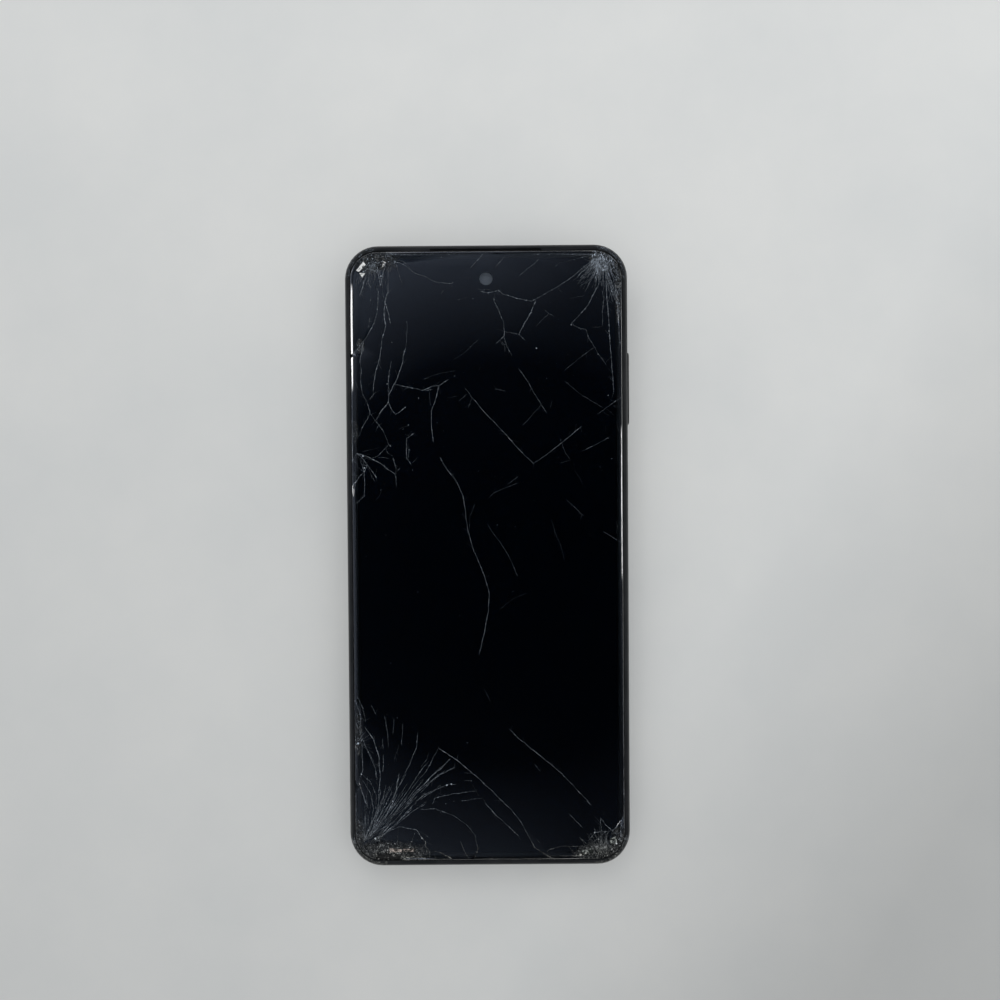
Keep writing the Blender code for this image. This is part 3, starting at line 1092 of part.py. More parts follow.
def make_inner_pieces():
    cell_x = (CHANNEL_X - RIB - CAVITY_X) / 2
    cell_y = (TOP_ZONE_Y + BOTTOM_ZONE_Y) / 2
    top = PLATE_BOTTOM_Z - BATTERY_HEADROOM
    half_x = (CHANNEL_X - RIB + CAVITY_X) / 2 - BATTERY_GAP
    half_y = (TOP_ZONE_Y - BOTTOM_ZONE_Y) / 2 - RIB - BATTERY_GAP
    battery = slab("battery", rounded(half_x, half_y, 1.2, 3, (cell_x, cell_y)),
                   COVER_FLOOR_Z + BATTERY_HEADROOM, top)
    finish(soften(battery, 0.4), (0.03, 0.03, 0.035), 0.5)
    half_x -= THERMAL_INSET
    half_y -= THERMAL_INSET
    sheet = slab("thermal_sheet", rectangle(cell_x - half_x, cell_x + half_x, cell_y - half_y, cell_y + half_y),
                 top + 0.08, top + 0.2)
    finish(sheet, (0.05, 0.05, 0.055), 0.35, 0.5)
    front_z = PANEL_BOTTOM_Z - 0.1
    front = slab("front_camera", rounded(FRONT_BODY / 2, FRONT_BODY / 2, 0.5, 2, (0, FRONT_CAMERA_Y)),
                 PLATE_BOTTOM_Z - 3.4, PLATE_BOTTOM_Z - 0.2)
    boolean(front, "barrel", prism(circle(0, FRONT_CAMERA_Y, FRONT_BARREL, 20), PLATE_BOTTOM_Z - 1, front_z),
            "UNION")
    boolean(front, "lens mouth", prism(circle(0, FRONT_CAMERA_Y, FRONT_BARREL * 0.55, 16), front_z - 0.3,
                                       front_z + 1))
    finish(smooth(front), (0.05, 0.055, 0.06), 0.3)
    receiver_y = CAVITY_Y - BOARD_EDGE_GAP
    receiver = slab("earpiece_speaker", rectangle(EARPIECE_SPEAKER_X0, EARPIECE_SPEAKER_X1,
                                                  receiver_y - EARPIECE_SPEAKER_DEPTH, receiver_y),
                    BOARD_TOP_Z - EARPIECE_SPEAKER_HEIGHT, BOARD_TOP_Z)
    finish(soften(receiver, 0.3), (0.4, 0.4, 0.41), 0.4, 0.7)
    box_x0 = USB_WIDTH / 2 + 3.8
    box_x1 = CAVITY_X - BOSS_INSET - 2.6
    speaker = slab("loudspeaker", rectangle(box_x0, box_x1, -CAVITY_Y + BOARD_EDGE_GAP,
                                            BOTTOM_ZONE_Y - SPEAKER_FROM_ZONE),
                   PLATE_COVER_Z + 0.3, BOARD_TOP_Z)
    finish(soften(speaker, 0.5), (0.03, 0.03, 0.03), 0.5)
    motor = slab("vibration_motor", circle(-CAVITY_X + MOTOR_FROM_SIDE, BOTTOM_ZONE_Y - MOTOR_DIAMETER,
                                           MOTOR_DIAMETER, 24), BOARD_TOP_Z - MOTOR_HEIGHT, BOARD_TOP_Z)
    finish(smooth(soften(motor, 0.2)), (0.5, 0.5, 0.5), 0.3, 0.9)
    microphone_y = -CAVITY_Y + BOARD_EDGE_GAP
    microphone_top = CHARGE_BOARD_Z - CLEARANCE
    microphone = slab("bottom_microphone",
                      rectangle(MICROPHONE_X - MICROPHONE_WIDTH / 2, MICROPHONE_X + MICROPHONE_WIDTH / 2,
                                microphone_y, microphone_y + MICROPHONE_DEPTH),
                      microphone_top - MICROPHONE_HEIGHT, microphone_top)
    finish(microphone, (0.5, 0.45, 0.3), 0.4, 0.8)
    y0 = -HALF_LENGTH + 1.2
    socket = add_object("usb_c_socket", mesh_of("usb_c_socket", along_y(
        stadium(USB_WIDTH, USB_HEIGHT, 6), y0, y0 + USB_LENGTH, 0, USB_Z)))
    boolean(socket, "mouth", along_y(stadium(USB_WIDTH - 2 * USB_WALL, USB_HEIGHT - 2 * USB_WALL, 6),
                                     y0 - 1, y0 + USB_LENGTH - 1.0, 0, USB_Z))
    boolean(socket, "tongue", along_y([(-3.3, -0.35), (3.3, -0.35), (3.3, 0.35), (-3.3, 0.35)],
                                      y0 + 0.6, y0 + USB_LENGTH - 0.5, 0, USB_Z), "UNION")
    finish(smooth(socket), (0.55, 0.55, 0.56), 0.3, 0.95)


def make_sim():
    y, z = TRAY_Y, TRAY_Z
    back = -HALF_WIDTH + TRAY_FACE
    rings = []
    for shrink, depth in ((0.0, TRAY_FACE), (0.0, 0.14), (0.12, 0.02)):
        outline = rounded(TRAY_WIDTH / 2 - shrink, TRAY_FACE_HEIGHT / 2 - shrink, 0.65 - shrink, 4)
        rings.append([(max(-HALF_WIDTH + side_inset(z + v) + depth, -HALF_WIDTH + depth), y + u, z + v)
                      for u, v in outline])
    rings[0] = [(back, py, pz) for _, py, pz in rings[0]]
    tray = add_object("sim_tray", mesh_of("sim_tray", loft(rings)), (back, y, z))
    half = TRAY_WIDTH / 2
    plate_half = TRAY_WIDTH / 2 - TRAY_PLATE_INSET
    plate = prism(rectangle(back - 0.3, back + TRAY_DEPTH, y - plate_half, y + plate_half),
                  z - TRAY_PLATE / 2, z + TRAY_PLATE / 2)
    boolean(tray, "plate", plate, "UNION")
    starts = (back + CARD_START, back + CARD_START + CARD_PITCH)
    wells = [prism(rectangle(x, x + CARD_LENGTH, y - CARD_WIDTH / 2, y + CARD_WIDTH / 2), z - 1, z + 1)
             for x in starts]
    boolean(tray, "card wells", merged(*wells))
    finish(tray, (0.05, 0.052, 0.057), 0.38)
    x0 = -CAVITY_X + 0.7
    x1 = back + TRAY_DEPTH + 1.2
    socket = slab("sim_socket", rectangle(x0, x1, y - half - 0.3, y + half + 0.3), z - 0.8,
                  BOARD_Z - CLEARANCE)
    boolean(socket, "slot", prism(rectangle(x0 - 1, x1 - 0.6, y - plate_half - 0.2, y + plate_half + 0.2),
                                  z - TRAY_PLATE / 2 - 0.15, z + TRAY_PLATE / 2 + 0.12))
    finish(socket, (0.6, 0.6, 0.6), 0.3, 0.9)


def make_key(name, y, length, stand_out):
    """A side key with a flange behind the wall; it stands out a little."""
    face_x = HALF_WIDTH + stand_out
    rings = []
    for x, shrink in ((KEY_X + 0.3, 0), (face_x - 0.18, 0), (face_x - 0.05, 0.12), (face_x, 0.34)):
        outline = rounded(length / 2 - shrink, KEY_HEIGHT / 2 - shrink, KEY_HEIGHT / 2 - shrink, 6)
        rings.append([(x, y + u, KEY_Z + v) for u, v in outline])
    key = add_object(name, mesh_of(name, loft(rings)), (KEY_X, y, KEY_Z))
    flange_half = length / 2 + KEY_FLANGE_OVERHANG
    flange = along_x(rounded(flange_half, KEY_HEIGHT / 2 + 0.05, 0.3, 2), KEY_X, KEY_X + KEY_FLANGE, y, KEY_Z)
    boolean(key, "flange", flange, "UNION")
    finish(smooth(key), (0.05, 0.052, 0.057), 0.35)


def make_keys():
    make_key("volume_rocker", ROCKER_Y, ROCKER_LENGTH, ROCKER_STAND_OUT)
    make_key("power_key", POWER_Y, POWER_LENGTH, POWER_STAND_OUT)
    dome_face = KEY_X - 0.3
    back = dome_face - DOME_HEIGHT - FLEX
    y0 = POWER_Y - 8.0
    y1 = ROCKER_Y + ROCKER_LENGTH / 2 + 2.0
    strip = along_x(rectangle(y0, y1, -1.2, 1.0), back, back + FLEX, 0, KEY_Z)
    flex = add_object("key_flex", mesh_of("key_flex", strip))
    domes = [along_x(circle(0, 0, DOME_DIAMETER, 12), back + 0.05, dome_face, y, KEY_Z)
             for y in (POWER_Y, ROCKER_Y - 5.5, ROCKER_Y + 5.5)]
    boolean(flex, "domes", merged(*domes), "UNION")
    finish(flex, (0.35, 0.16, 0.03), 0.4)


def make_cables():
    """The flat cable and the round antenna lead run up the channel beside the battery."""
    z = BOARD_Z - 0.45
    x = CHANNEL_X + 0.7
    y0 = BOTTOM_ZONE_Y - 12.0
    y1 = TOP_ZONE_Y + 4.4
    strip = slab("board_flex", rectangle(x, x + 3.6, y0, y1), z - FLEX, z)
    boolean(strip, "plugs", merged(
        prism(rectangle(x + 0.3, x + 3.3, y1 - 2.6, y1 - 0.4), z - FLEX / 2, BOARD_Z - CLEARANCE),
        prism(rectangle(x + 0.3, x + 3.3, y0 + 0.4, y0 + 2.6), z - FLEX / 2, BOARD_Z - CLEARANCE)), "UNION")
    finish(strip, (0.03, 0.03, 0.03), 0.5)
    lead_x = CAVITY_X - 2.3
    lead_z = BOARD_Z - 1.3
    route = ((lead_x - 5.6, TOP_ZONE_Y + 3.4), (lead_x - 2.4, TOP_ZONE_Y + 3.0),
             (lead_x - 0.6, TOP_ZONE_Y + 1.4), (lead_x, TOP_ZONE_Y - 1.6),
             (lead_x, TOP_ZONE_Y - 8.0), (lead_x, 0.0), (lead_x, BOTTOM_ZONE_Y + 6.0),
             (lead_x, BOTTOM_ZONE_Y - 2.0), (lead_x - 0.8, BOTTOM_ZONE_Y - 5.4),
             (lead_x - 3.2, BOTTOM_ZONE_Y - 8.0), (lead_x - 6.4, BOTTOM_ZONE_Y - 9.4))
    lead = add_object("antenna_lead", mesh_of("antenna_lead", tube(route, lead_z, COAX_DIAMETER)))
    finish(smooth(lead), (0.02, 0.02, 0.02), 0.5)


clear_scene()
make_frame()
make_rear_cover()
make_camera_island()
make_display()
make_glass()
make_shards()
make_boards()
make_screws()
make_inner_pieces()
make_sim()
make_keys()
make_cables()
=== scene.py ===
import bpy
import bmesh
import math
import random
from mathutils import Vector, Matrix, noise
from mathutils.bvhtree import BVHTree


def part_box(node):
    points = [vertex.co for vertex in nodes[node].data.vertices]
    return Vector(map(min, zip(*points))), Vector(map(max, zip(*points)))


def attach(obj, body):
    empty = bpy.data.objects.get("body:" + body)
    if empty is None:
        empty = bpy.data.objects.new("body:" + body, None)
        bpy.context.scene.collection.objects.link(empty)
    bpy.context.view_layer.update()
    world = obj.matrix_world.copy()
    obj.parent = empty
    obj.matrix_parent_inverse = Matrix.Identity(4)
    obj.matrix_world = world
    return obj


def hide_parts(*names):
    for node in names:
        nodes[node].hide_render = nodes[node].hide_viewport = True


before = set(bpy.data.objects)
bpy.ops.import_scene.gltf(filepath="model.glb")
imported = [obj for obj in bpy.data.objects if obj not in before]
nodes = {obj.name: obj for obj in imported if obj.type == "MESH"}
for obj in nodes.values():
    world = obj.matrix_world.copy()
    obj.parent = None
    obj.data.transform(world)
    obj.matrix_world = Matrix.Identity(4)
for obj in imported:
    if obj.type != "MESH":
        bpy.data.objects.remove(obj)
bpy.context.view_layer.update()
mm = 0.001


# handy bits

def nodeTree(name):
    material = bpy.data.materials.new(name)
    material.use_nodes = True
    tree = material.node_tree
    tree.nodes.clear()
    out = tree.nodes.new("ShaderNodeOutputMaterial")
    return material, tree, out


def add(tree, kind, **sockets):
    # new node; keyword names are socket names with _ for a space, or node settings
    node = tree.nodes.new("ShaderNode" + kind)
    for key, value in sockets.items():
        label = key.replace("_", " ")
        if hasattr(node, key):
            setattr(node, key, value)
        elif hasattr(value, "is_output"):
            tree.links.new(value, node.inputs[label])
        else:
            node.inputs[label].default_value = value
    return node


def ramp(tree, factor, *stops, smooth=False):
    node = tree.nodes.new("ShaderNodeValToRGB")
    tree.links.new(factor, node.inputs[0])
    if smooth:
        node.color_ramp.interpolation = "EASE"
    elements = node.color_ramp.elements
    while len(elements) < len(stops):
        elements.new(0.5)
    for element, (at, level) in zip(elements, stops):
        element.position = at
        rgb = (level, level, level) if not hasattr(level, "__len__") else level
        element.color = (*rgb, 1)
    return node.outputs[0]


def calc(tree, operation, a, b=None, c=None, clamp=False):
    node = tree.nodes.new("ShaderNodeMath")
    node.operation = operation
    node.use_clamp = clamp
    for slot, value in zip(node.inputs, (a, b, c)):
        if value is None:
            continue
        if hasattr(value, "is_output"):
            tree.links.new(value, slot)
        else:
            slot.default_value = value
    return node.outputs[0]


def mixColour(tree, factor, a, b, blend="MIX"):
    node = tree.nodes.new("ShaderNodeMix")
    node.data_type = "RGBA"
    node.blend_type = blend
    for slot, value in ((node.inputs[0], factor), (node.inputs[6], a), (node.inputs[7], b)):
        if hasattr(value, "is_output"):
            tree.links.new(value, slot)
        elif hasattr(value, "__len__"):
            slot.default_value = (*value, 1)
        else:
            slot.default_value = value
    return node.outputs[2]


def where(tree, scale=1.0):
    # place on the part, in millimetres
    coords = add(tree, "TexCoord")
    mapping = add(tree, "Mapping", Vector=coords.outputs["Object"])
    mapping.inputs["Scale"].default_value = (1000 * scale,) * 3
    return mapping.outputs[0]


def noiseAt(tree, place, size, detail=4.0, rough=0.6, stretch=None):
    if stretch:
        mapping = add(tree, "Mapping", Vector=place)
        mapping.inputs["Scale"].default_value = stretch
        place = mapping.outputs[0]
    return add(tree, "TexNoise", Vector=place, Scale=1 / size, Detail=detail, Roughness=rough).outputs[0]


def surface(name, look):
    # everyday material: base colour with a mottle, uneven gloss, dust, fine bump and rub marks
    material, tree, out = nodeTree(name)
    place = where(tree)
    mottle = noiseAt(tree, place, look.get("mottleSize", 6.0))
    fine = noiseAt(tree, place, look.get("grainSize", 0.35), 6)
    colour = mixColour(tree, ramp(tree, mottle, (0.3, 0.0), (0.7, 1.0)), look["colour"], look["second"])
    dust = ramp(tree, noiseAt(tree, place, look.get("dustSize", 0.5), 8, 0.8),
                (look.get("dustFrom", 0.66), 0.0), (look.get("dustFrom", 0.66) + 0.06, look.get("dust", 0.3)))
    colour = mixColour(tree, dust, colour, look.get("dustColour", (0.33, 0.32, 0.30)))
    scratch = noiseAt(tree, place, 0.12, 2, 0.5, stretch=look.get("brush", (0.05, 1.0, 1.0)))
    rough = calc(tree, "MULTIPLY_ADD", mottle, look.get("roughSpread", 0.12), look["rough"] - 0.06)
    rough = calc(tree, "MULTIPLY_ADD", dust, 0.25, rough)
    height = calc(tree, "ADD", calc(tree, "MULTIPLY", fine, look.get("grain", 0.5)),
                  calc(tree, "MULTIPLY", scratch, look.get("rub", 0.15)))
    bump = add(tree, "Bump", Height=height, Strength=look.get("bump", 0.15), Distance=0.00005)
    shader = add(tree, "BsdfPrincipled", Base_Color=colour, Roughness=rough,
                 Metallic=look.get("metal", 0.0), Normal=bump.outputs[0])
    shader.inputs["Specular IOR Level"].default_value = look.get("shine", 0.5)
    shader.inputs["Coat Weight"].default_value = look.get("coat", 0.0)
    shader.inputs["Coat Roughness"].default_value = 0.08
    tree.links.new(shader.outputs[0], out.inputs[0])
    return material


def wear(obj, material):
    obj.data.materials.clear()
    obj.data.materials.append(material)


def newObject(name, bm, material, body="phone", origin=None):
    mesh = bpy.data.meshes.new(name)
    bm.to_mesh(mesh)
    bm.free()
    mesh.transform(Matrix.Scale(mm, 4))
    obj = bpy.data.objects.new(name, mesh)
    bpy.context.scene.collection.objects.link(obj)
    wear(obj, material)
    if body:
        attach(obj, body)
    return obj


print("kit ready")

# where things are, from the frame

glassLow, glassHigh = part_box("cover_glass")
bodyLow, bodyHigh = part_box("mid_frame")
glassTop = glassHigh.z / mm
glassBottom = glassLow.z / mm
halfGlassX = (glassHigh.x - glassLow.x) / 2 / mm
halfGlassY = (glassHigh.y - glassLow.y) / 2 / mm
halfBodyX = (bodyHigh.x - bodyLow.x) / 2 / mm
halfBodyY = (bodyHigh.y - bodyLow.y) / 2 / mm
glassRadius = 7.2
glassEdge = {"width": 1.1, "drop": 0.42}     # the rounded rim of the glass

# crushed patches: place in mm, reach each way, how much of the patch is broken up
impacts = {
    "topLeft": {"at": (-30.6, 79.4), "reach": (5.6, 2.9), "white": 0.85},
    "topRight": {"at": (30.6, 79.0), "reach": (2.4, 2.9), "white": 1.0},
    "topRightCorner": {"at": (34.0, 78.6), "reach": (2.4, 2.6), "white": 0.7},
    "topRightEdge": {"at": (35.3, 71.0), "reach": (0.9, 7.0), "white": 0.75},
    "leftStar": {"at": (-33.6, 56.4), "reach": (0.9, 1.7), "white": 0.6},
    "leftEdge": {"at": (-35.4, 33.6), "reach": (0.9, 2.4), "white": 0.35},
    "lowLeftEdge": {"at": (-35.3, -46.6), "reach": (1.0, 4.6), "white": 0.6},
    "bottomLeft": {"at": (-28.4, -79.4), "reach": (9.0, 2.6), "white": 0.9},
    "bottomLeftEdge": {"at": (-35.2, -75.0), "reach": (1.2, 4.4), "white": 0.8},
    "bottomRight": {"at": (30.2, -79.8), "reach": (6.2, 2.2), "white": 0.95},
    "bottomRightEdge": {"at": (34.6, -77.2), "reach": (1.6, 3.6), "white": 0.85},
}


def insideGlass(x, y, margin=0.0):
    dx = abs(x) - (halfGlassX - glassRadius)
    dy = abs(y) - (halfGlassY - glassRadius)
    if dx > 0 and dy > 0:
        return math.hypot(dx, dy) < glassRadius - margin
    return dx < glassRadius - margin and dy < glassRadius - margin


def nearImpact(x, y, share):
    # inside a crushed patch, or a share of it
    return any(math.hypot((x - spot["at"][0]) / spot["reach"][0], (y - spot["at"][1]) / spot["reach"][1]) < share
               for spot in impacts.values())


# cover glass

glass = {
    "reflect": 1.5,            # index of refraction
    "tint": (0.80, 0.86, 0.90),
    "gloss": 0.015,
    "rim": 0.85,               # the rounded rim throws back far more than the flat face
    "relief": 0.05,            # how much of the groove depth is left beside the crack lines
    "grain": 0.42,             # size of the crumbs in the crushed patches, mm
    "dust": 0.22,
}


def crushMark(tree, place):
    # 1 in the middle of each crushed patch, 0 away from them, with a ragged edge
    ragged = calc(tree, "MULTIPLY_ADD", noiseAt(tree, place, 1.6, 4, 0.7), 1.6, -0.8)
    total = None
    for spot in impacts.values():
        mapping = add(tree, "Mapping", vector_type="TEXTURE", Vector=place)
        mapping.inputs["Location"].default_value = (*spot["at"], glassTop)
        mapping.inputs["Scale"].default_value = (*spot["reach"], 4.0)
        away = add(tree, "VectorMath", operation="LENGTH", Vector=mapping.outputs[0]).outputs["Value"]
        near = calc(tree, "SUBTRACT", calc(tree, "ADD", ragged, 1.35), away)
        near = calc(tree, "MULTIPLY", calc(tree, "MULTIPLY", near, 2.0, clamp=True), spot["white"])
        total = near if total is None else calc(tree, "MAXIMUM", total, near)
    return total


def crumbColour(tree, place, size):
    # crushed glass: dark crumbs, some grey, a few white, with pale seams between them
    warp = add(tree, "TexNoise", Vector=place, Scale=1.1, Detail=3).outputs["Color"]
    bent = add(tree, "VectorMath", operation="MULTIPLY_ADD")
    tree.links.new(warp, bent.inputs[0])
    bent.inputs[1].default_value = (0.9, 0.9, 0.0)
    tree.links.new(place, bent.inputs[2])
    cells = add(tree, "TexVoronoi", Vector=bent.outputs[0], Scale=1 / size)
    pick = add(tree, "SeparateColor", Color=cells.outputs["Color"]).outputs[0]
    seams = add(tree, "TexVoronoi", feature="DISTANCE_TO_EDGE", Vector=bent.outputs[0], Scale=1 / size)
    seam = ramp(tree, seams.outputs["Distance"], (0.0, 1.0), (0.09, 0.0))
    level = ramp(tree, pick, (0.0, 0.006), (0.55, 0.012), (0.80, 0.04), (0.95, 0.10), (1.0, 0.3))
    broad = noiseAt(tree, place, 1.5, 3, 0.6)
    level = calc(tree, "MULTIPLY", level, ramp(tree, broad, (0.3, 0.25), (0.7, 1.5)))
    level = calc(tree, "MULTIPLY_ADD", calc(tree, "MULTIPLY", seam, ramp(tree, broad, (0.4, 0.0), (0.6, 1.0))),
                 0.07, level)
    return mixColour(tree, level, (0.002, 0.003, 0.004), (0.92, 0.94, 0.93))


def glassMaterial(look):
    # clear sheet you look straight through, mirror on top, broken up in the crushed patches
    material, tree, out = nodeTree("shattered glass")
    place = where(tree)
    smear = noiseAt(tree, place, 9.0, 6, 0.7, stretch=(1.0, 0.5, 1.0))
    rough = calc(tree, "MULTIPLY_ADD", ramp(tree, smear, (0.45, 0.0), (0.75, 1.0)), 0.02, look["gloss"])
    clear = add(tree, "BsdfTransparent", Color=(*look["tint"], 1))
    mirror = add(tree, "BsdfGlossy", Color=(1, 1, 1, 1), Roughness=rough)
    fresnel = add(tree, "Fresnel", IOR=look["reflect"])
    facing = add(tree, "SeparateXYZ", Vector=add(tree, "NewGeometry").outputs["Normal"]).outputs["Z"]
    rim = ramp(tree, calc(tree, "ABSOLUTE", facing), (0.955, look["rim"]), (0.99, 0.0))
    sheet = add(tree, "MixShader", Fac=calc(tree, "MAXIMUM", fresnel.outputs[0], rim))
    tree.links.new(clear.outputs[0], sheet.inputs[1])
    tree.links.new(mirror.outputs[0], sheet.inputs[2])
    specks = ramp(tree, noiseAt(tree, place, 0.28, 3, 0.6), (0.735, 0.0), (0.76, look["dust"]))
    dust = add(tree, "BsdfDiffuse", Color=(0.42, 0.42, 0.40, 1))
    dusty = add(tree, "MixShader", Fac=specks)
    tree.links.new(sheet.outputs[0], dusty.inputs[1])
    tree.links.new(dust.outputs[0], dusty.inputs[2])
    crumbs = add(tree, "BsdfPrincipled", Base_Color=crumbColour(tree, place, look["grain"]), Roughness=0.25)
    whole = add(tree, "MixShader", Fac=crushMark(tree, place))
    tree.links.new(dusty.outputs[0], whole.inputs[1])
    tree.links.new(crumbs.outputs[0], whole.inputs[2])
    tree.links.new(whole.outputs[0], out.inputs[0])
    return material


def readGlass():
    # the CAD sheet in millimetres, corners joined up
    bm = bmesh.new()
    bm.from_mesh(nodes["cover_glass"].data)
    bm.transform(nodes["cover_glass"].matrix_world)
    bm.transform(Matrix.Scale(1 / mm, 4))
    bmesh.ops.remove_doubles(bm, verts=bm.verts, dist=0.0005)
    return bm


def makeGlass():
    bm = readGlass()
    mesh = bpy.data.meshes.new("glass_sheet")
    bm.to_mesh(mesh)
    bm.free()
    for vert in mesh.vertices:
        drop = glassTop - vert.co.z
        if 0 < drop < glassTop - glassBottom - 0.1 and insideGlass(vert.co.x, vert.co.y, 1.15):
            if not nearImpact(vert.co.x, vert.co.y, 1.0):
                vert.co.z = glassTop - drop * glass["relief"]
    mesh.transform(Matrix.Scale(mm, 4))
    mesh.shade_smooth()
    mesh.set_sharp_from_angle(angle=math.radians(24))
    sheet = bpy.data.objects.new("glass_sheet", mesh)
    bpy.context.scene.collection.objects.link(sheet)
    wear(sheet, glassMaterial(glass))
    modifier = sheet.modifiers.new("even shading", "WEIGHTED_NORMAL")
    modifier.keep_sharp = True
    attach(sheet, "phone")
    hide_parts("cover_glass")
    return sheet


makeGlass()
print("glass sheet done")

# cracks

cracks = {
    "thin": 0.018,        # half widths in mm
    "thick": 0.048,
    "step": 0.28,         # length of one piece of crack
    "wander": 0.13,       # how far it strays from straight
    "jagged": 0.035,      # and how ragged it is along its way
    "splinters": 0.45,    # side splinters per mm of strong crack
    "knots": 0.22,        # bright specks per mm
    "colour": (0.74, 0.84, 0.97),
    "lowColour": (0.86, 0.86, 0.80),     # towards the bottom of the picture
}

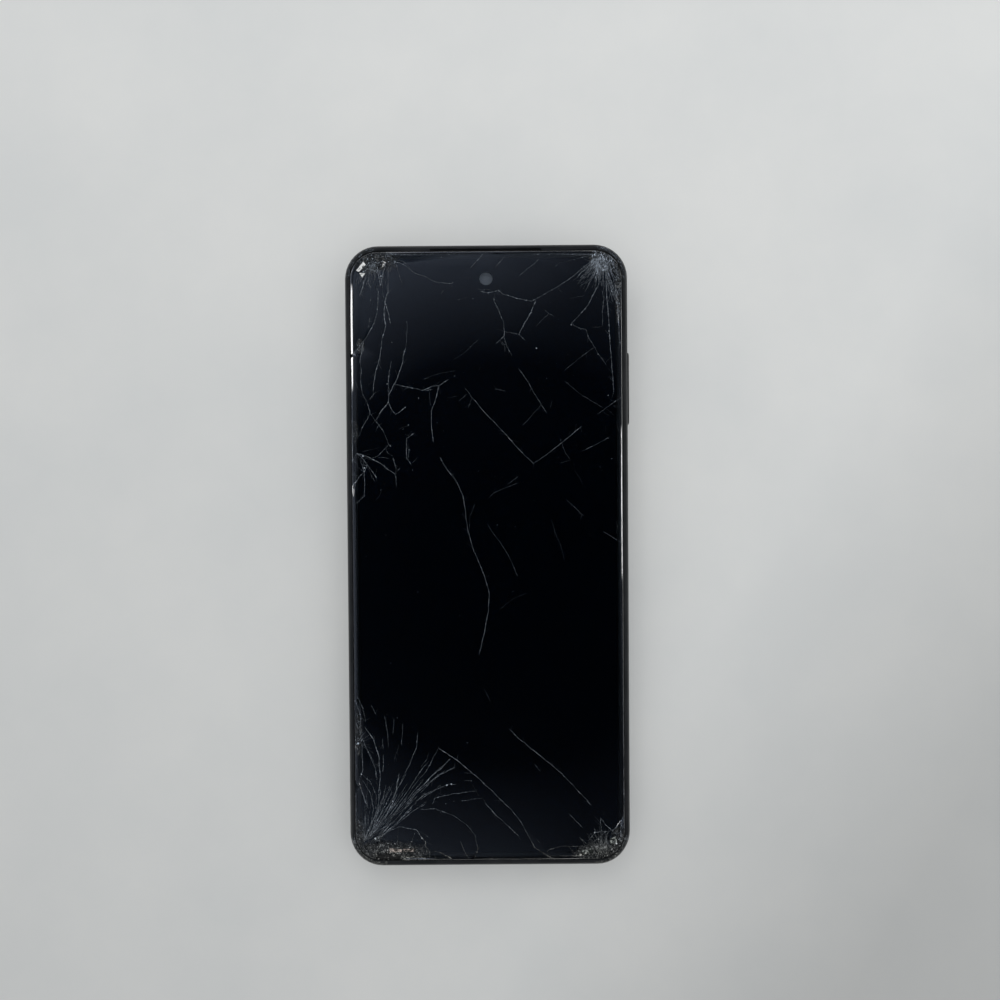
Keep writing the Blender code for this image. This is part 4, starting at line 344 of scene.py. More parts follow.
# thin cracks beside the deep ones of the sheet: strength, then points in mm as seen in the picture
fineCracks = {
    "topLeft": [
        (0.5, (-31.3, 65.0), (-31.4, 63.8), (-30.5, 63.8)),
        (0.8, (-33.3, 57.8), (-33.7, 56.4), (-33.9, 55.0), (-33.1, 56.2), (-33.3, 57.8)),
        (0.6, (-34.6, 57.6), (-34.1, 56.6), (-34.5, 55.2)),
        (0.6, (-35.4, 56.6), (-34.7, 55.4)),
        (0.6, (-35.3, 75.0), (-35.0, 73.6), (-35.5, 72.0)),
        (0.5, (-34.3, 76.0), (-34.9, 74.4), (-35.2, 72.6)),
        (0.6, (-33.2, 75.6), (-33.6, 74.0), (-34.4, 71.8)),
        (0.8, (-32.4, 76.4), (-32.6, 75.0), (-33.4, 72.4), (-33.9, 70.4)),
        (0.6, (-30.6, 77.0), (-30.9, 75.2), (-31.4, 73.6)),
        (0.6, (-29.6, 77.6), (-29.8, 75.6), (-30.4, 73.6)),
        (0.9, (-28.4, 78.6), (-28.6, 76.4), (-28.1, 74.4), (-27.9, 72.9)),
        (0.7, (-27.2, 78.6), (-27.8, 76.2), (-27.5, 74.4)),
        (0.5, (-26.9, 76.0), (-27.1, 74.0), (-26.5, 71.6)),
        (0.5, (-25.2, 79.9), (-24.6, 79.3), (-24.0, 79.8), (-24.5, 80.3), (-25.2, 79.9)),
        (0.5, (-23.8, 80.2), (-22.5, 79.9), (-21.5, 79.2), (-20.4, 78.2)),
        (0.3, (-19.0, 81.0), (-18.3, 80.9), (-17.7, 80.4), (-17.8, 79.7), (-18.4, 79.4)),
        (0.3, (-5.8, 76.9), (-4.9, 77.1), (-4.0, 76.8)),
        (0.3, (-6.1, 75.6), (-5.0, 75.3), (-4.0, 75.5)),
    ],
    "left": [
        (0.5, (-15.5, 45.0), (-15.4, 43.0), (-15.1, 41.0)),
        (0.4, (-10.7, 43.0), (-9.2, 43.4), (-8.0, 43.6)),
        (0.5, (-28.5, 36.4), (-29.4, 35.6), (-30.2, 34.2)),
        (0.6, (-33.7, 35.6), (-34.4, 33.4), (-35.2, 32.2)),
        (0.5, (-35.8, 48.2), (-35.1, 46.6), (-34.4, 45.4)),
        (0.4, (-36.2, 36.0), (-35.4, 34.6), (-35.1, 33.2), (-36.1, 31.8)),
        (0.5, (-27.7, 29.6), (-26.8, 28.2), (-25.6, 27.5)),
        (0.9, (-33.6, 25.0), (-32.4, 25.0), (-33.3, 23.2), (-33.6, 25.0)),
        (0.6, (-36.6, 22.6), (-35.5, 22.2), (-34.4, 22.2)),
        (0.5, (-35.1, 24.8), (-34.2, 24.0), (-33.3, 23.2)),
        (0.5, (-32.4, 24.6), (-31.3, 22.2), (-30.5, 20.6)),
        (0.4, (-21.7, 30.8), (-21.1, 29.2), (-21.4, 27.6)),
        (0.4, (-22.3, 33.4), (-21.2, 33.0), (-20.3, 34.2)),
        (0.3, (-30.4, 15.6), (-29.2, 17.0), (-28.6, 18.6)),
    ],
    "middle": [
        (0.4, (-9.8, 22.2), (-8.8, 23.0)),
        (0.4, (-6.4, 15.0), (-5.4, 16.4)),
        (0.4, (-4.8, 11.2), (-4.9, 9.0), (-5.2, 6.6)),
        (0.8, (2.2, 45.2), (3.6, 45.1), (5.2, 44.8)),
        (0.3, (-2.0, 50.6), (-1.7, 51.4)),
        (0.4, (-10.2, 24.0), (-9.4, 22.6), (-8.7, 21.2)),
        (0.3, (1.6, 36.8), (2.6, 37.4)),
        (0.4, (-2.2, 72.4), (-1.0, 72.0), (0.4, 72.2), (1.8, 71.6)),
        (0.5, (4.2, 58.4), (5.0, 56.6), (5.0, 55.4)),
        (0.6, (3.6, 58.8), (4.3, 57.4), (5.4, 57.6)),
    ],
    "topRight": [
        (0.7, (28.3, 78.4), (26.9, 77.0), (25.9, 76.6)),
        (0.7, (29.5, 77.2), (27.5, 75.6), (26.3, 75.0)),
        (0.7, (29.5, 76.0), (28.1, 74.6), (26.5, 73.6), (25.3, 72.8)),
        (0.5, (28.9, 77.0), (27.0, 75.4), (24.7, 74.3)),
        (0.5, (28.5, 75.3), (26.9, 74.2), (25.0, 73.6)),
        (0.9, (30.7, 75.6), (30.5, 73.8), (29.9, 72.2), (29.3, 71.0), (28.7, 70.2), (28.3, 69.2)),
        (0.7, (33.3, 80.6), (33.5, 79.0), (33.9, 76.6), (34.3, 75.0), (34.3, 72.6)),
        (0.7, (34.3, 78.4), (35.1, 76.0), (35.3, 73.8), (35.1, 71.0), (35.7, 68.0), (36.1, 65.8)),
        (0.6, (35.5, 80.0), (36.1, 78.0), (36.5, 76.0)),
        (0.5, (30.3, 81.6), (29.0, 80.2), (27.4, 79.6)),
        (0.7, (31.6, 81.4), (31.0, 79.6), (29.6, 78.4), (28.9, 77.0)),
        (0.7, (32.0, 80.2), (31.4, 78.2), (30.6, 76.6), (30.9, 74.8)),
        (0.6, (32.4, 79.8), (32.0, 77.8), (31.6, 75.6), (31.9, 73.8)),
        (0.6, (33.1, 72.6), (33.5, 70.6), (33.1, 68.6)),
        (0.7, (35.1, 72.0), (35.6, 71.0), (35.0, 70.0), (35.7, 69.0), (35.1, 68.0), (35.8, 67.0),
         (35.3, 66.0), (36.0, 65.0), (35.6, 64.0)),
        (0.6, (36.4, 72.6), (35.9, 71.4), (36.5, 70.2), (36.0, 69.0), (36.6, 67.8), (36.1, 66.4),
         (36.6, 65.2)),
        (0.5, (34.3, 74.9), (33.8, 72.6), (34.2, 70.8)),
        (0.5, (32.8, 65.4), (33.6, 64.8)),
        (0.4, (31.4, 62.4), (30.1, 61.8), (28.5, 61.8)),
    ],
    "right": [
        (0.5, (32.3, 39.8), (33.3, 39.0), (34.3, 38.2)),
        (0.4, (31.3, 39.4), (32.2, 38.4), (33.0, 38.0)),
        (0.5, (34.2, 40.6), (35.2, 40.2), (36.2, 40.8)),
        (0.4, (33.0, 43.0), (33.8, 42.0), (34.6, 41.9)),
        (0.4, (32.1, 35.6), (32.1, 33.8)),
        (0.5, (35.1, 36.4), (35.6, 33.8)),
        (0.3, (23.5, 23.6), (24.3, 22.2), (25.3, 20.8), (25.8, 19.4)),
        (0.3, (17.3, 9.8), (17.9, 8.0), (18.5, 6.0), (19.8, 2.9), (20.7, -0.8)),
        (0.4, (34.7, 9.6), (35.1, 8.2), (34.9, 6.0)),
        (0.4, (35.4, -60.9), (36.5, -60.8)),
        (0.4, (36.1, -63.0), (35.9, -64.4)),
    ],
    "lowLeft": [
        (0.6, (-37.0, -42.2), (-36.1, -42.4), (-35.1, -42.6)),
        (0.8, (-36.9, -43.6), (-36.3, -44.4), (-35.9, -45.6), (-35.5, -46.6)),
        (1.0, (-34.3, -48.2), (-35.3, -49.4), (-36.3, -50.2), (-36.7, -50.6)),
        (0.9, (-36.5, -49.6), (-36.3, -50.8), (-35.5, -50.6), (-34.9, -50.2), (-34.5, -49.0)),
        (0.6, (-34.5, -50.2), (-33.8, -51.2), (-33.2, -52.2), (-32.5, -53.4), (-31.7, -55.0), (-31.1, -56.6)),
        (0.5, (-31.5, -48.2), (-31.1, -49.6)),
        (0.5, (-28.2, -43.8), (-27.8, -46.4), (-27.6, -49.6), (-27.5, -51.6)),
        (0.4, (-24.7, -50.8), (-25.1, -52.6), (-25.7, -54.0), (-25.9, -55.4)),
        (0.8, (-29.1, -49.2), (-29.0, -51.0), (-28.9, -51.8)),
        (0.4, (-34.9, -53.8), (-34.6, -55.4), (-34.5, -57.0), (-34.9, -58.8)),
        (0.4, (-36.3, -54.8), (-36.1, -57.0), (-35.7, -59.0)),
        (0.5, (-36.6, -46.2), (-35.9, -47.4), (-36.4, -48.6)),
        (0.5, (-35.2, -43.4), (-35.8, -44.6), (-35.0, -45.4)),
        (0.5, (-21.5, -55.0), (-22.1, -57.0), (-23.1, -58.6), (-23.7, -60.0), (-24.5, -61.6)),
    ],
    "bottomLeft": [
        (0.8, (-28.3, -62.0), (-28.7, -63.6), (-29.2, -65.4), (-29.7, -67.0), (-30.3, -68.8), (-30.7, -69.8)),
        (0.7, (-27.0, -61.8), (-27.7, -63.4), (-28.3, -65.0), (-28.9, -67.0), (-29.5, -69.0)),
        (1.0, (-24.5, -58.6), (-25.2, -61.0), (-25.5, -63.8), (-26.5, -66.2), (-28.1, -70.0), (-30.1, -73.2),
         (-32.7, -75.8)),
        (0.8, (-16.5, -55.4), (-18.5, -57.6), (-20.1, -60.2), (-23.7, -65.4), (-27.3, -70.2), (-30.9, -74.2),
         (-34.9, -77.2)),
        (0.7, (-13.7, -51.4), (-15.3, -54.4), (-16.9, -57.6), (-20.5, -62.0), (-24.5, -67.4)),
        (0.5, (-16.5, -53.0), (-17.1, -55.0), (-18.7, -57.0)),
        (0.8, (-10.9, -55.0), (-14.9, -58.6), (-16.9, -60.8), (-19.5, -63.0), (-21.9, -65.8), (-25.7, -70.2)),
        (0.8, (-9.5, -57.2), (-13.3, -59.0), (-17.5, -62.0), (-19.7, -63.8), (-22.9, -67.4)),
        (0.9, (-13.5, -61.9), (-14.7, -63.0), (-16.3, -63.8), (-18.1, -64.8), (-20.5, -66.6)),
        (0.8, (-17.1, -66.6), (-18.1, -67.4), (-19.3, -68.0)),
        (0.8, (-28.7, -70.2), (-29.9, -72.4), (-31.7, -74.8), (-34.1, -77.0)),
        (0.6, (-27.7, -71.0), (-26.9, -72.0)),
        (1.0, (-32.5, -77.2), (-31.3, -76.2), (-30.5, -75.8), (-30.1, -77.0), (-32.5, -77.2)),
        (0.8, (-34.7, -63.8), (-34.3, -65.0), (-33.7, -67.0), (-33.1, -68.2)),
        (0.6, (-36.9, -69.4), (-36.3, -70.8), (-35.7, -71.6), (-34.9, -73.0)),
        (0.7, (-30.8, -74.6), (-29.0, -73.4), (-27.4, -72.6), (-25.9, -71.6)),
        (0.6, (-31.6, -75.2), (-29.4, -73.0), (-27.2, -70.6), (-24.9, -68.4)),
        (0.6, (-33.4, -76.0), (-31.9, -73.8), (-30.8, -71.4), (-30.2, -69.2)),
        (0.5, (-34.2, -76.2), (-33.4, -74.2), (-33.0, -71.6), (-33.3, -69.4)),
        (0.5, (-26.1, -70.2), (-24.0, -68.8), (-22.3, -67.2), (-21.0, -66.2)),
        (0.5, (-20.0, -76.9), (-18.7, -76.8)),
        (0.4, (-19.4, -74.6), (-17.6, -75.4), (-16.9, -76.1)),
        (0.7, (-15.3, -80.8), (-14.9, -81.8), (-14.5, -82.4)),
        (0.7, (-18.2, -78.0), (-17.0, -79.2), (-16.4, -80.6), (-16.5, -82.2)),
        (0.5, (-23.0, -70.5), (-21.7, -69.6), (-20.3, -68.8)),
    ],
    "bottom": [
        (0.3, (-7.0, -58.5), (-5.0, -58.5)),
        (0.3, (-4.6, -62.0), (-3.6, -63.8), (-3.0, -65.0)),
        (0.4, (10.9, -78.4), (12.1, -79.3)),
        (0.6, (14.5, -81.0), (16.5, -82.0), (18.5, -82.5)),
        (0.4, (16.1, -81.2), (15.5, -80.2), (17.3, -79.4)),
        (0.4, (26.3, -75.2), (27.1, -76.2)),
        (0.6, (29.9, -78.0), (30.5, -79.4)),
        (0.6, (33.3, -75.8), (34.1, -75.2), (34.9, -75.6), (35.7, -75.0)),
        (0.7, (28.9, -76.2), (29.6, -77.6), (29.3, -78.9)),
        (0.5, (24.9, -77.2), (25.7, -78.6), (26.9, -79.4)),
        (0.6, (27.9, -78.2), (28.7, -79.6), (29.9, -80.0)),
    ],
}

# stretches where the cracks catch less light: middle, reach each way, what is left
dimSpots = [
    ((21.0, -65.0), (10.0, 9.0), 0.30),
    ((27.0, 46.0), (11.0, 18.0), 0.60),
    ((16.0, 18.0), (18.0, 20.0), 0.62),
    ((4.0, -74.0), (12.0, 9.0), 0.60),
    ((-8.0, 5.0), (12.0, 26.0), 0.75),
    ((-18.0, 74.0), (9.0, 6.0), 0.60),
]

# bright specks and knots: x, y, size in mm, how bright
specks = [
    (-20.6, 81.6, 0.12, 0.5), (-12.0, 81.0, 0.15, 0.7), (-31.1, 69.6, 0.12, 0.4), (-25.5, 58.2, 0.10, 0.4),
    (-9.2, 73.0, 0.10, 0.4), (-3.5, 69.8, 0.13, 0.5), (0.6, 71.3, 0.16, 0.7), (13.5, 56.3, 0.17, 0.9),
    (16.2, 48.2, 0.10, 0.4), (22.9, 62.6, 0.20, 0.8), (33.0, 65.4, 0.16, 0.8), (30.2, 54.6, 0.14, 0.6),
    (32.8, 43.5, 0.12, 0.5), (32.7, 31.9, 0.12, 0.5), (30.5, 24.2, 0.10, 0.4), (33.7, 26.4, 0.10, 0.4),
    (-26.9, 47.0, 0.20, 0.7), (-26.6, 42.0, 0.20, 0.8), (-27.3, 41.2, 0.15, 0.6), (-22.1, 40.6, 0.14, 0.7),
    (-18.5, 43.1, 0.14, 0.5), (-21.2, 35.9, 0.12, 0.5), (-22.7, 34.8, 0.10, 0.4), (-11.7, 34.2, 0.10, 0.4),
    (-13.5, 36.4, 0.10, 0.4), (-8.6, 49.0, 0.10, 0.5), (-20.2, 23.7, 0.12, 0.8), (-28.9, 18.4, 0.10, 0.4),
    (-33.2, 24.4, 0.28, 0.8), (-36.1, 33.0, 0.14, 0.6), (-26.2, 30.3, 0.20, 0.8), (-33.6, 27.6, 0.22, 0.8),
    (2.6, 8.7, 0.10, 0.4), (7.5, 8.2, 0.10, 0.4), (-2.4, 23.3, 0.10, 0.4), (-33.0, 0.5, 0.10, 0.4),
    (-7.8, -15.8, 0.10, 0.4), (-26.6, -28.6, 0.13, 0.7), (-19.1, -9.3, 0.09, 0.4), (6.7, -9.3, 0.09, 0.4),
    (-6.0, -50.4, 0.10, 0.5), (-25.0, -43.5, 0.12, 0.5), (-35.7, -50.4, 0.30, 1.0), (-34.9, -58.8, 0.20, 0.7),
    (-21.5, -68.2, 0.18, 1.0), (-26.4, -66.2, 0.18, 1.0), (-23.1, -66.4, 0.13, 0.8), (-9.8, -66.4, 0.14, 0.7),
    (-12.0, -67.0, 0.12, 0.5), (-10.4, -61.7, 0.34, 0.8), (-11.6, -61.9, 0.24, 0.7), (-17.6, -77.4, 0.26, 0.8),
    (-31.2, -76.4, 0.34, 0.9), (-18.6, -76.4, 0.24, 0.7), (-5.0, -60.8, 0.12, 0.6), (24.6, -81.2, 0.36, 0.9),
    (26.0, -80.8, 0.34, 0.9), (30.5, -79.4, 0.40, 0.8), (34.4, -78.2, 0.34, 0.9), (35.7, -77.6, 0.24, 0.7),
    (28.5, -75.2, 0.20, 0.7), (29.6, -77.0, 0.22, 0.7), (-33.0, 77.2, 0.22, 0.8), (-29.2, 78.2, 0.30, 0.6),
    (-29.9, 77.4, 0.24, 0.6), (-28.3, 76.0, 0.26, 0.9), (-31.9, 80.6, 0.26, 0.8), (-24.5, 79.8, 0.22, 0.5),
]

# bundles of hair-thin rays: origin, first and last direction in degrees, how many, shortest and longest
sprays = {
    "topRight": {"from": (31.0, 80.6), "turn": (208, 262), "count": 34, "reach": (2.6, 8.6), "light": 1.2},
    "topRightCore": {"from": (31.0, 80.9), "turn": (215, 275), "count": 40, "reach": (1.6, 5.2), "light": 1.6},
    "topRightDown": {"from": (31.6, 80.6), "turn": (262, 300), "count": 24, "reach": (3.0, 11.0), "light": 1.1},
    "topLeft": {"from": (-30.6, 80.6), "turn": (222, 300), "count": 26, "reach": (2.0, 8.0), "light": 0.9},
    "bottomLeft": {"from": (-34.6, -77.6), "turn": (36, 96), "count": 16, "reach": (5.0, 17.0), "light": 1.0},
    "bottomRight": {"from": (30.6, -81.0), "turn": (52, 150), "count": 26, "reach": (2.0, 6.4), "light": 1.1},
    "leftStar": {"from": (-35.6, 28.2), "turn": (-62, 12), "count": 7, "reach": (1.6, 6.0), "light": 0.5},
    "lowLeft": {"from": (-36.2, -50.4), "turn": (-60, 75), "count": 10, "reach": (1.0, 4.0), "light": 0.6},
}


# crushed glass lying in the patches: how many flakes, their size in mm, how dark most of them are
# (a high number leaves few bright ones), and for the drawn-out ones which way they point
rubble = {
    "topLeft": {"count": 210, "size": (0.10, 0.42), "dark": 4.0, "top": 0.6},
    "topRight": {"count": 230, "size": (0.08, 0.28), "dark": 1.2, "top": 0.95, "along": 250, "draw": 2.6},
    "topRightCorner": {"count": 170, "size": (0.09, 0.34), "dark": 2.6, "top": 0.42, "along": 295, "draw": 3.2},
    "topRightEdge": {"count": 230, "size": (0.07, 0.24), "dark": 2.8, "top": 0.5, "along": 285, "draw": 2.0},
    "leftStar": {"count": 34, "size": (0.07, 0.26), "dark": 2.4, "top": 0.6},
    "leftEdge": {"count": 24, "size": (0.06, 0.22), "dark": 3.0, "top": 0.5},
    "lowLeftEdge": {"count": 90, "size": (0.06, 0.22), "dark": 3.2, "top": 0.5, "along": 280, "draw": 1.8},
    "bottomLeft": {"count": 460, "size": (0.08, 0.34), "dark": 3.4, "top": 0.6, "along": 8, "draw": 1.8},
    "bottomLeftEdge": {"count": 150, "size": (0.07, 0.26), "dark": 4.0, "top": 0.5},
    "bottomRight": {"count": 420, "size": (0.07, 0.32), "dark": 3.0, "top": 0.7},
    "bottomRightEdge": {"count": 170, "size": (0.07, 0.28), "dark": 3.6, "top": 0.5},
}


# the same crumbs and scratches on the frame at its corners: span of the corner in degrees and how many
scuffs = {
    "topLeft": {"turn": (92, 178), "count": 150},
    "topRight": {"turn": (-6, 84), "count": 320},
    "bottomLeft": {"turn": (184, 278), "count": 560},
    "bottomRight": {"turn": (266, 352), "count": 480},
}
scuffLook = {"size": (0.10, 0.34), "dark": 2.6, "top": 0.42, "cornerRadius": 9.0, "lowest": 2.4}


def crackMaterial(look):
    # frosted break surface; the mark "light" sets how bright a stretch is
    material, tree, out = nodeTree("crack")
    place = where(tree)
    light = add(tree, "Attribute", attribute_name="light").outputs["Fac"]
    glint = ramp(tree, noiseAt(tree, place, 0.5, 3, 0.7), (0.40, 0.35), (0.62, 1.0))
    level = calc(tree, "MULTIPLY", light, glint, clamp=True)
    up = calc(tree, "MULTIPLY_ADD", add(tree, "SeparateXYZ", Vector=place).outputs["Y"], 1 / 170.0, 0.5)
    white = ramp(tree, up, (0.03, look["lowColour"]), (0.075, look["colour"]))
    colour = mixColour(tree, level, (0.002, 0.003, 0.004), white)
    shader = add(tree, "BsdfPrincipled", Base_Color=colour, Roughness=0.3)
    shader.inputs["Specular IOR Level"].default_value = 0.2
    tree.links.new(shader.outputs[0], out.inputs[0])
    return material


def valleys(bm):
    # bottoms of the grooves in the sheet: (start, end, depth share at each)
    found = []
    for edge in bm.edges:
        if len(edge.link_faces) != 2:
            continue
        a, b = (vert.co for vert in edge.verts)
        if min(a.z, b.z) > glassTop - 0.06 or min(a.z, b.z) < glassBottom + 0.08:
            continue
        rise = []
        for face in edge.link_faces:
            if face.normal.z < 0.05:
                break
            other = next(vert for vert in face.verts if vert not in edge.verts)
            rise.append(other.co.z - (a.z + b.z) / 2)
        if len(rise) == 2 and min(rise) > 0.025:
            found.append((a.copy(), b.copy(), (glassTop - a.z) / 0.34, (glassTop - b.z) / 0.34))
    return found


def surfaceAt(x, y):
    # height of the rounded glass face at a place
    dx = abs(x) - (halfGlassX - glassRadius)
    dy = abs(y) - (halfGlassY - glassRadius)
    depth = glassRadius - math.hypot(max(dx, 0), max(dy, 0)) - min(max(dx, dy), 0)
    share = min(max(depth / glassEdge["width"], 0), 1)
    return glassTop - glassEdge["drop"] * (1 - math.sqrt(1 - (1 - share) ** 2))


def readFrame():
    # the frame, to lay crumbs on it
    bm = bmesh.new()
    bm.from_mesh(nodes["mid_frame"].data)
    bm.transform(nodes["mid_frame"].matrix_world)
    bm.transform(Matrix.Scale(1 / mm, 4))
    tree = BVHTree.FromBMesh(bm)
    bm.free()
    return tree


frameShape = readFrame()


def asSeen(point):
    # from the traced place to the place on the glass, which lies a little nearer the camera
    return Vector((point[0] * 0.984, point[1] * 0.985))


def dimAt(p):
    # share of the light that is left at a place
    left = 1.0
    for middle, reach, share in dimSpots:
        away = ((p.x - middle[0]) / reach[0]) ** 2 + ((p.y - middle[1]) / reach[1]) ** 2
        left *= 1 - (1 - share) * math.exp(-away)
    return left


def stray(p):
    # a place moved a little off the straight, the same way for every line that passes it
    coarse = noise.noise_vector(Vector((p.x * 0.55, p.y * 0.55, 4.0)))
    fine = noise.noise_vector(Vector((p.x * 2.1, p.y * 2.1, 9.0)))
    return Vector((p.x + cracks["wander"] * (coarse.x + 0.55 * fine.x),
                   p.y + cracks["wander"] * (coarse.y + 0.55 * fine.y)))


class Ribbons:
    # flat strips along lines, each with its own brightness
    def __init__(self):
        self.bm = bmesh.new()
        self.light = self.bm.loops.layers.float.new("light")
        self.pick = random.Random(11)

    def strip(self, points, widths, lights):
        rows = []
        twist = self.pick.uniform(-0.3, 0.3)
        for i, point in enumerate(points):
            way = points[min(i + 1, len(points) - 1)] - points[max(i - 1, 0)]
            if way.length < 1e-6 or not insideGlass(point.x, point.y, 0.02):
                return
            way.normalize()
            side = Vector((-way.y, way.x)) * widths[i]
            height = surfaceAt(point.x, point.y) + 0.006
            rows.append((self.bm.verts.new((point.x + side.x, point.y + side.y, height + twist * widths[i])),
                         self.bm.verts.new((point.x - side.x, point.y - side.y, height - twist * widths[i]))))
        for i in range(len(rows) - 1):
            face = self.bm.faces.new((rows[i][0], rows[i][1], rows[i + 1][1], rows[i + 1][0]))
            for loop, value in zip(face.loops, (lights[i], lights[i], lights[i + 1], lights[i + 1])):
                loop[self.light] = value

    def line(self, start, end, first, last, fancy=True):
        start, end = Vector(start[:2]), Vector(end[:2])
        length = (end - start).length
        count = max(1, round(length / cracks["step"]))
        points, widths, lights = [], [], []
        for i in range(count + 1):
            p = stray(start.lerp(end, i / count))
            deep = max(0.0, min(1.0, first + (last - first) * i / count))
            swell = 0.5 + 0.5 * noise.noise(Vector((p.x * 0.35, p.y * 0.35, 1.9)))
            flicker = self.pick.random() ** 2
            if 0 < i < count:
                p.x += self.pick.uniform(-1, 1) * cracks["jagged"]
                p.y += self.pick.uniform(-1, 1) * cracks["jagged"]
            points.append(p)
            widths.append(cracks["thin"] + (cracks["thick"] - cracks["thin"]) * deep ** 1.5 * swell)
            lights.append(min(1.0, 0.015 + dimAt(p) * deep ** 1.4 * (0.11 + 1.6 * swell * flicker)))
        self.strip(points, widths, lights)
        if not fancy:
            return
        strength = max(first, last, 0.0)
        for p in points[:-1]:
            if self.pick.random() < cracks["splinters"] * cracks["step"] * strength:
                self.splinter(p, math.atan2(*(end - start).yx), strength)
            if self.pick.random() < cracks["knots"] * cracks["step"] * strength ** 2:
                self.speck(p, self.pick.uniform(0.05, 0.11), self.pick.uniform(0.4, 0.9))

    def splinter(self, p, heading, strength):
        turn = heading + self.pick.choice((0, math.pi)) + self.pick.uniform(-0.9, 0.9)
        reach = self.pick.uniform(0.3, 1.6) * (0.5 + strength)
        tip = p + Vector((math.cos(turn), math.sin(turn))) * reach
        self.line(p, tip, 0.55 * strength, 0.1, False)

    def speck(self, p, size, light):
        count = self.pick.randint(3, 5)
        turn = self.pick.uniform(0, math.tau)
        ring = []
        for i in range(count):
            reach = size * self.pick.uniform(0.5, 1.1)
            angle = turn + math.tau * i / count
            x, y = p.x + reach * math.cos(angle), p.y + reach * math.sin(angle)
            if not insideGlass(x, y, 0.02):
                return
            ring.append(self.bm.verts.new((x, y, surfaceAt(x, y) + 0.01)))
        face = self.bm.faces.new(ring)
        for loop in face.loops:
            loop[self.light] = light

    def flakes(self, spot, look):
        # small flat crumbs scattered over a crushed patch, thinner towards its rim
        for i in range(look["count"]):
            angle = self.pick.uniform(0, math.tau)
            reach = 1.15 * self.pick.random() ** 0.6
            middle = Vector((spot["at"][0] + spot["reach"][0] * reach * math.cos(angle),
                             spot["at"][1] + spot["reach"][1] * reach * math.sin(angle)))
            size = self.pick.uniform(*look["size"])
            light = 0.012 + look["top"] * self.pick.random() ** look["dark"]
            count = self.pick.choice((3, 3, 4))
            heading = math.radians(look.get("along", 0) + self.pick.uniform(-25, 25))
            along = Vector((math.cos(heading), math.sin(heading)))
            turn = self.pick.uniform(0, math.tau)
            ring = []
            for n in range(count):
                here = turn + math.tau * n / count
                p = Vector((math.cos(here), math.sin(here))) * size * self.pick.uniform(0.35, 0.8)
                p += middle + along * p.dot(along) * (look.get("draw", 1.0) - 1.0)
                ring.append(p)
            if not all(insideGlass(p.x, p.y, 0.03) for p in ring):
                continue
            verts = [self.bm.verts.new((p.x, p.y, surfaceAt(p.x, p.y) + self.pick.uniform(0.008, 0.05)))
                     for p in ring]
            face = self.bm.faces.new(verts)
            for loop in face.loops:
                loop[self.light] = light * self.pick.uniform(0.6, 1.0)

    def scuff(self, corner, look):
        # crumbs and short scratches on the frame round one corner
        middle = math.radians(sum(corner["turn"]) / 2)
        radius = look["cornerRadius"]
        centre = Vector((math.copysign(halfBodyX - radius, math.cos(middle)),
                         math.copysign(halfBodyY - radius, math.sin(middle))))
        for i in range(corner["count"]):
            angle = math.radians(self.pick.uniform(*corner["turn"]))
            away = Vector((math.cos(angle), math.sin(angle)))
            along = Vector((-away.y, away.x))
            p = centre + away * self.pick.uniform(radius - 1.7, radius - 0.05)
            p += along * self.pick.uniform(-0.6, 0.6)
            size = self.pick.uniform(*look["size"])
            draw = self.pick.choice((1.0, 1.0, 2.5))
            verts = []
            for n in range(3):
                here = self.pick.uniform(0, 2) + math.tau * n / 3
                x, y = p + along * size * draw * math.cos(here) + away * size * 0.7 * math.sin(here)
                hit = frameShape.ray_cast(Vector((x, y, glassTop + 20)), Vector((0, 0, -1)))[0]
                if hit is None or insideGlass(x, y) or hit.z < glassTop - look["lowest"]:
                    break
                verts.append((x, y, hit.z + 0.012))
            if len(verts) == 3:
                face = self.bm.faces.new([self.bm.verts.new(vert) for vert in verts])
                light = 0.01 + look["top"] * self.pick.random() ** look["dark"]
                for loop in face.loops:
                    loop[self.light] = light

    def spray(self, look):
        for i in range(look["count"]):
            share = (i + self.pick.uniform(-0.4, 0.4)) / max(look["count"] - 1, 1)
            angle = math.radians(look["turn"][0] + (look["turn"][1] - look["turn"][0]) * share)
            low, high = look["reach"]
            reach = low + (high - low) * self.pick.random() ** 1.4
            here = asSeen(look["from"]) + Vector((math.cos(angle), math.sin(angle))) * self.pick.uniform(0.2, 2.0)
            light = look["light"] * self.pick.uniform(0.6, 1.1)
            parts = self.pick.randint(2, 4)
            for n in range(parts):
                angle += self.pick.uniform(-0.13, 0.13)
                there = here + Vector((math.cos(angle), math.sin(angle))) * reach / parts
                self.line(here, there, light * (1 - 0.7 * n / parts), light * (1 - 0.7 * (n + 1) / parts), n == 0)
                here = there


def makeCracks():
    ribbons = Ribbons()
    bm = readGlass()
    for start, end, first, last in valleys(bm):
        ribbons.line(start, end, first, last)
    bm.free()
    for group in fineCracks.values():
        for strength, *points in group:
            line = [asSeen(point) for point in points]
            for n, (start, end) in enumerate(zip(line, line[1:])):
                first = strength * (0.5 if n == 0 else 1.0)
                last = strength * (0.5 if n == len(line) - 2 else 1.0)
                ribbons.line(start, end, first, last)
    for look in sprays.values():
        ribbons.spray(look)
    for name, look in rubble.items():
        ribbons.flakes(impacts[name], look)
    for corner in scuffs.values():
        ribbons.scuff(corner, scuffLook)
    for x, y, size, light in specks:
        ribbons.speck(asSeen((x, y)), size, light)
    return newObject("crack_lines", ribbons.bm, crackMaterial(cracks))


makeCracks()
print("cracks done")

# plain materials for the CAD pieces

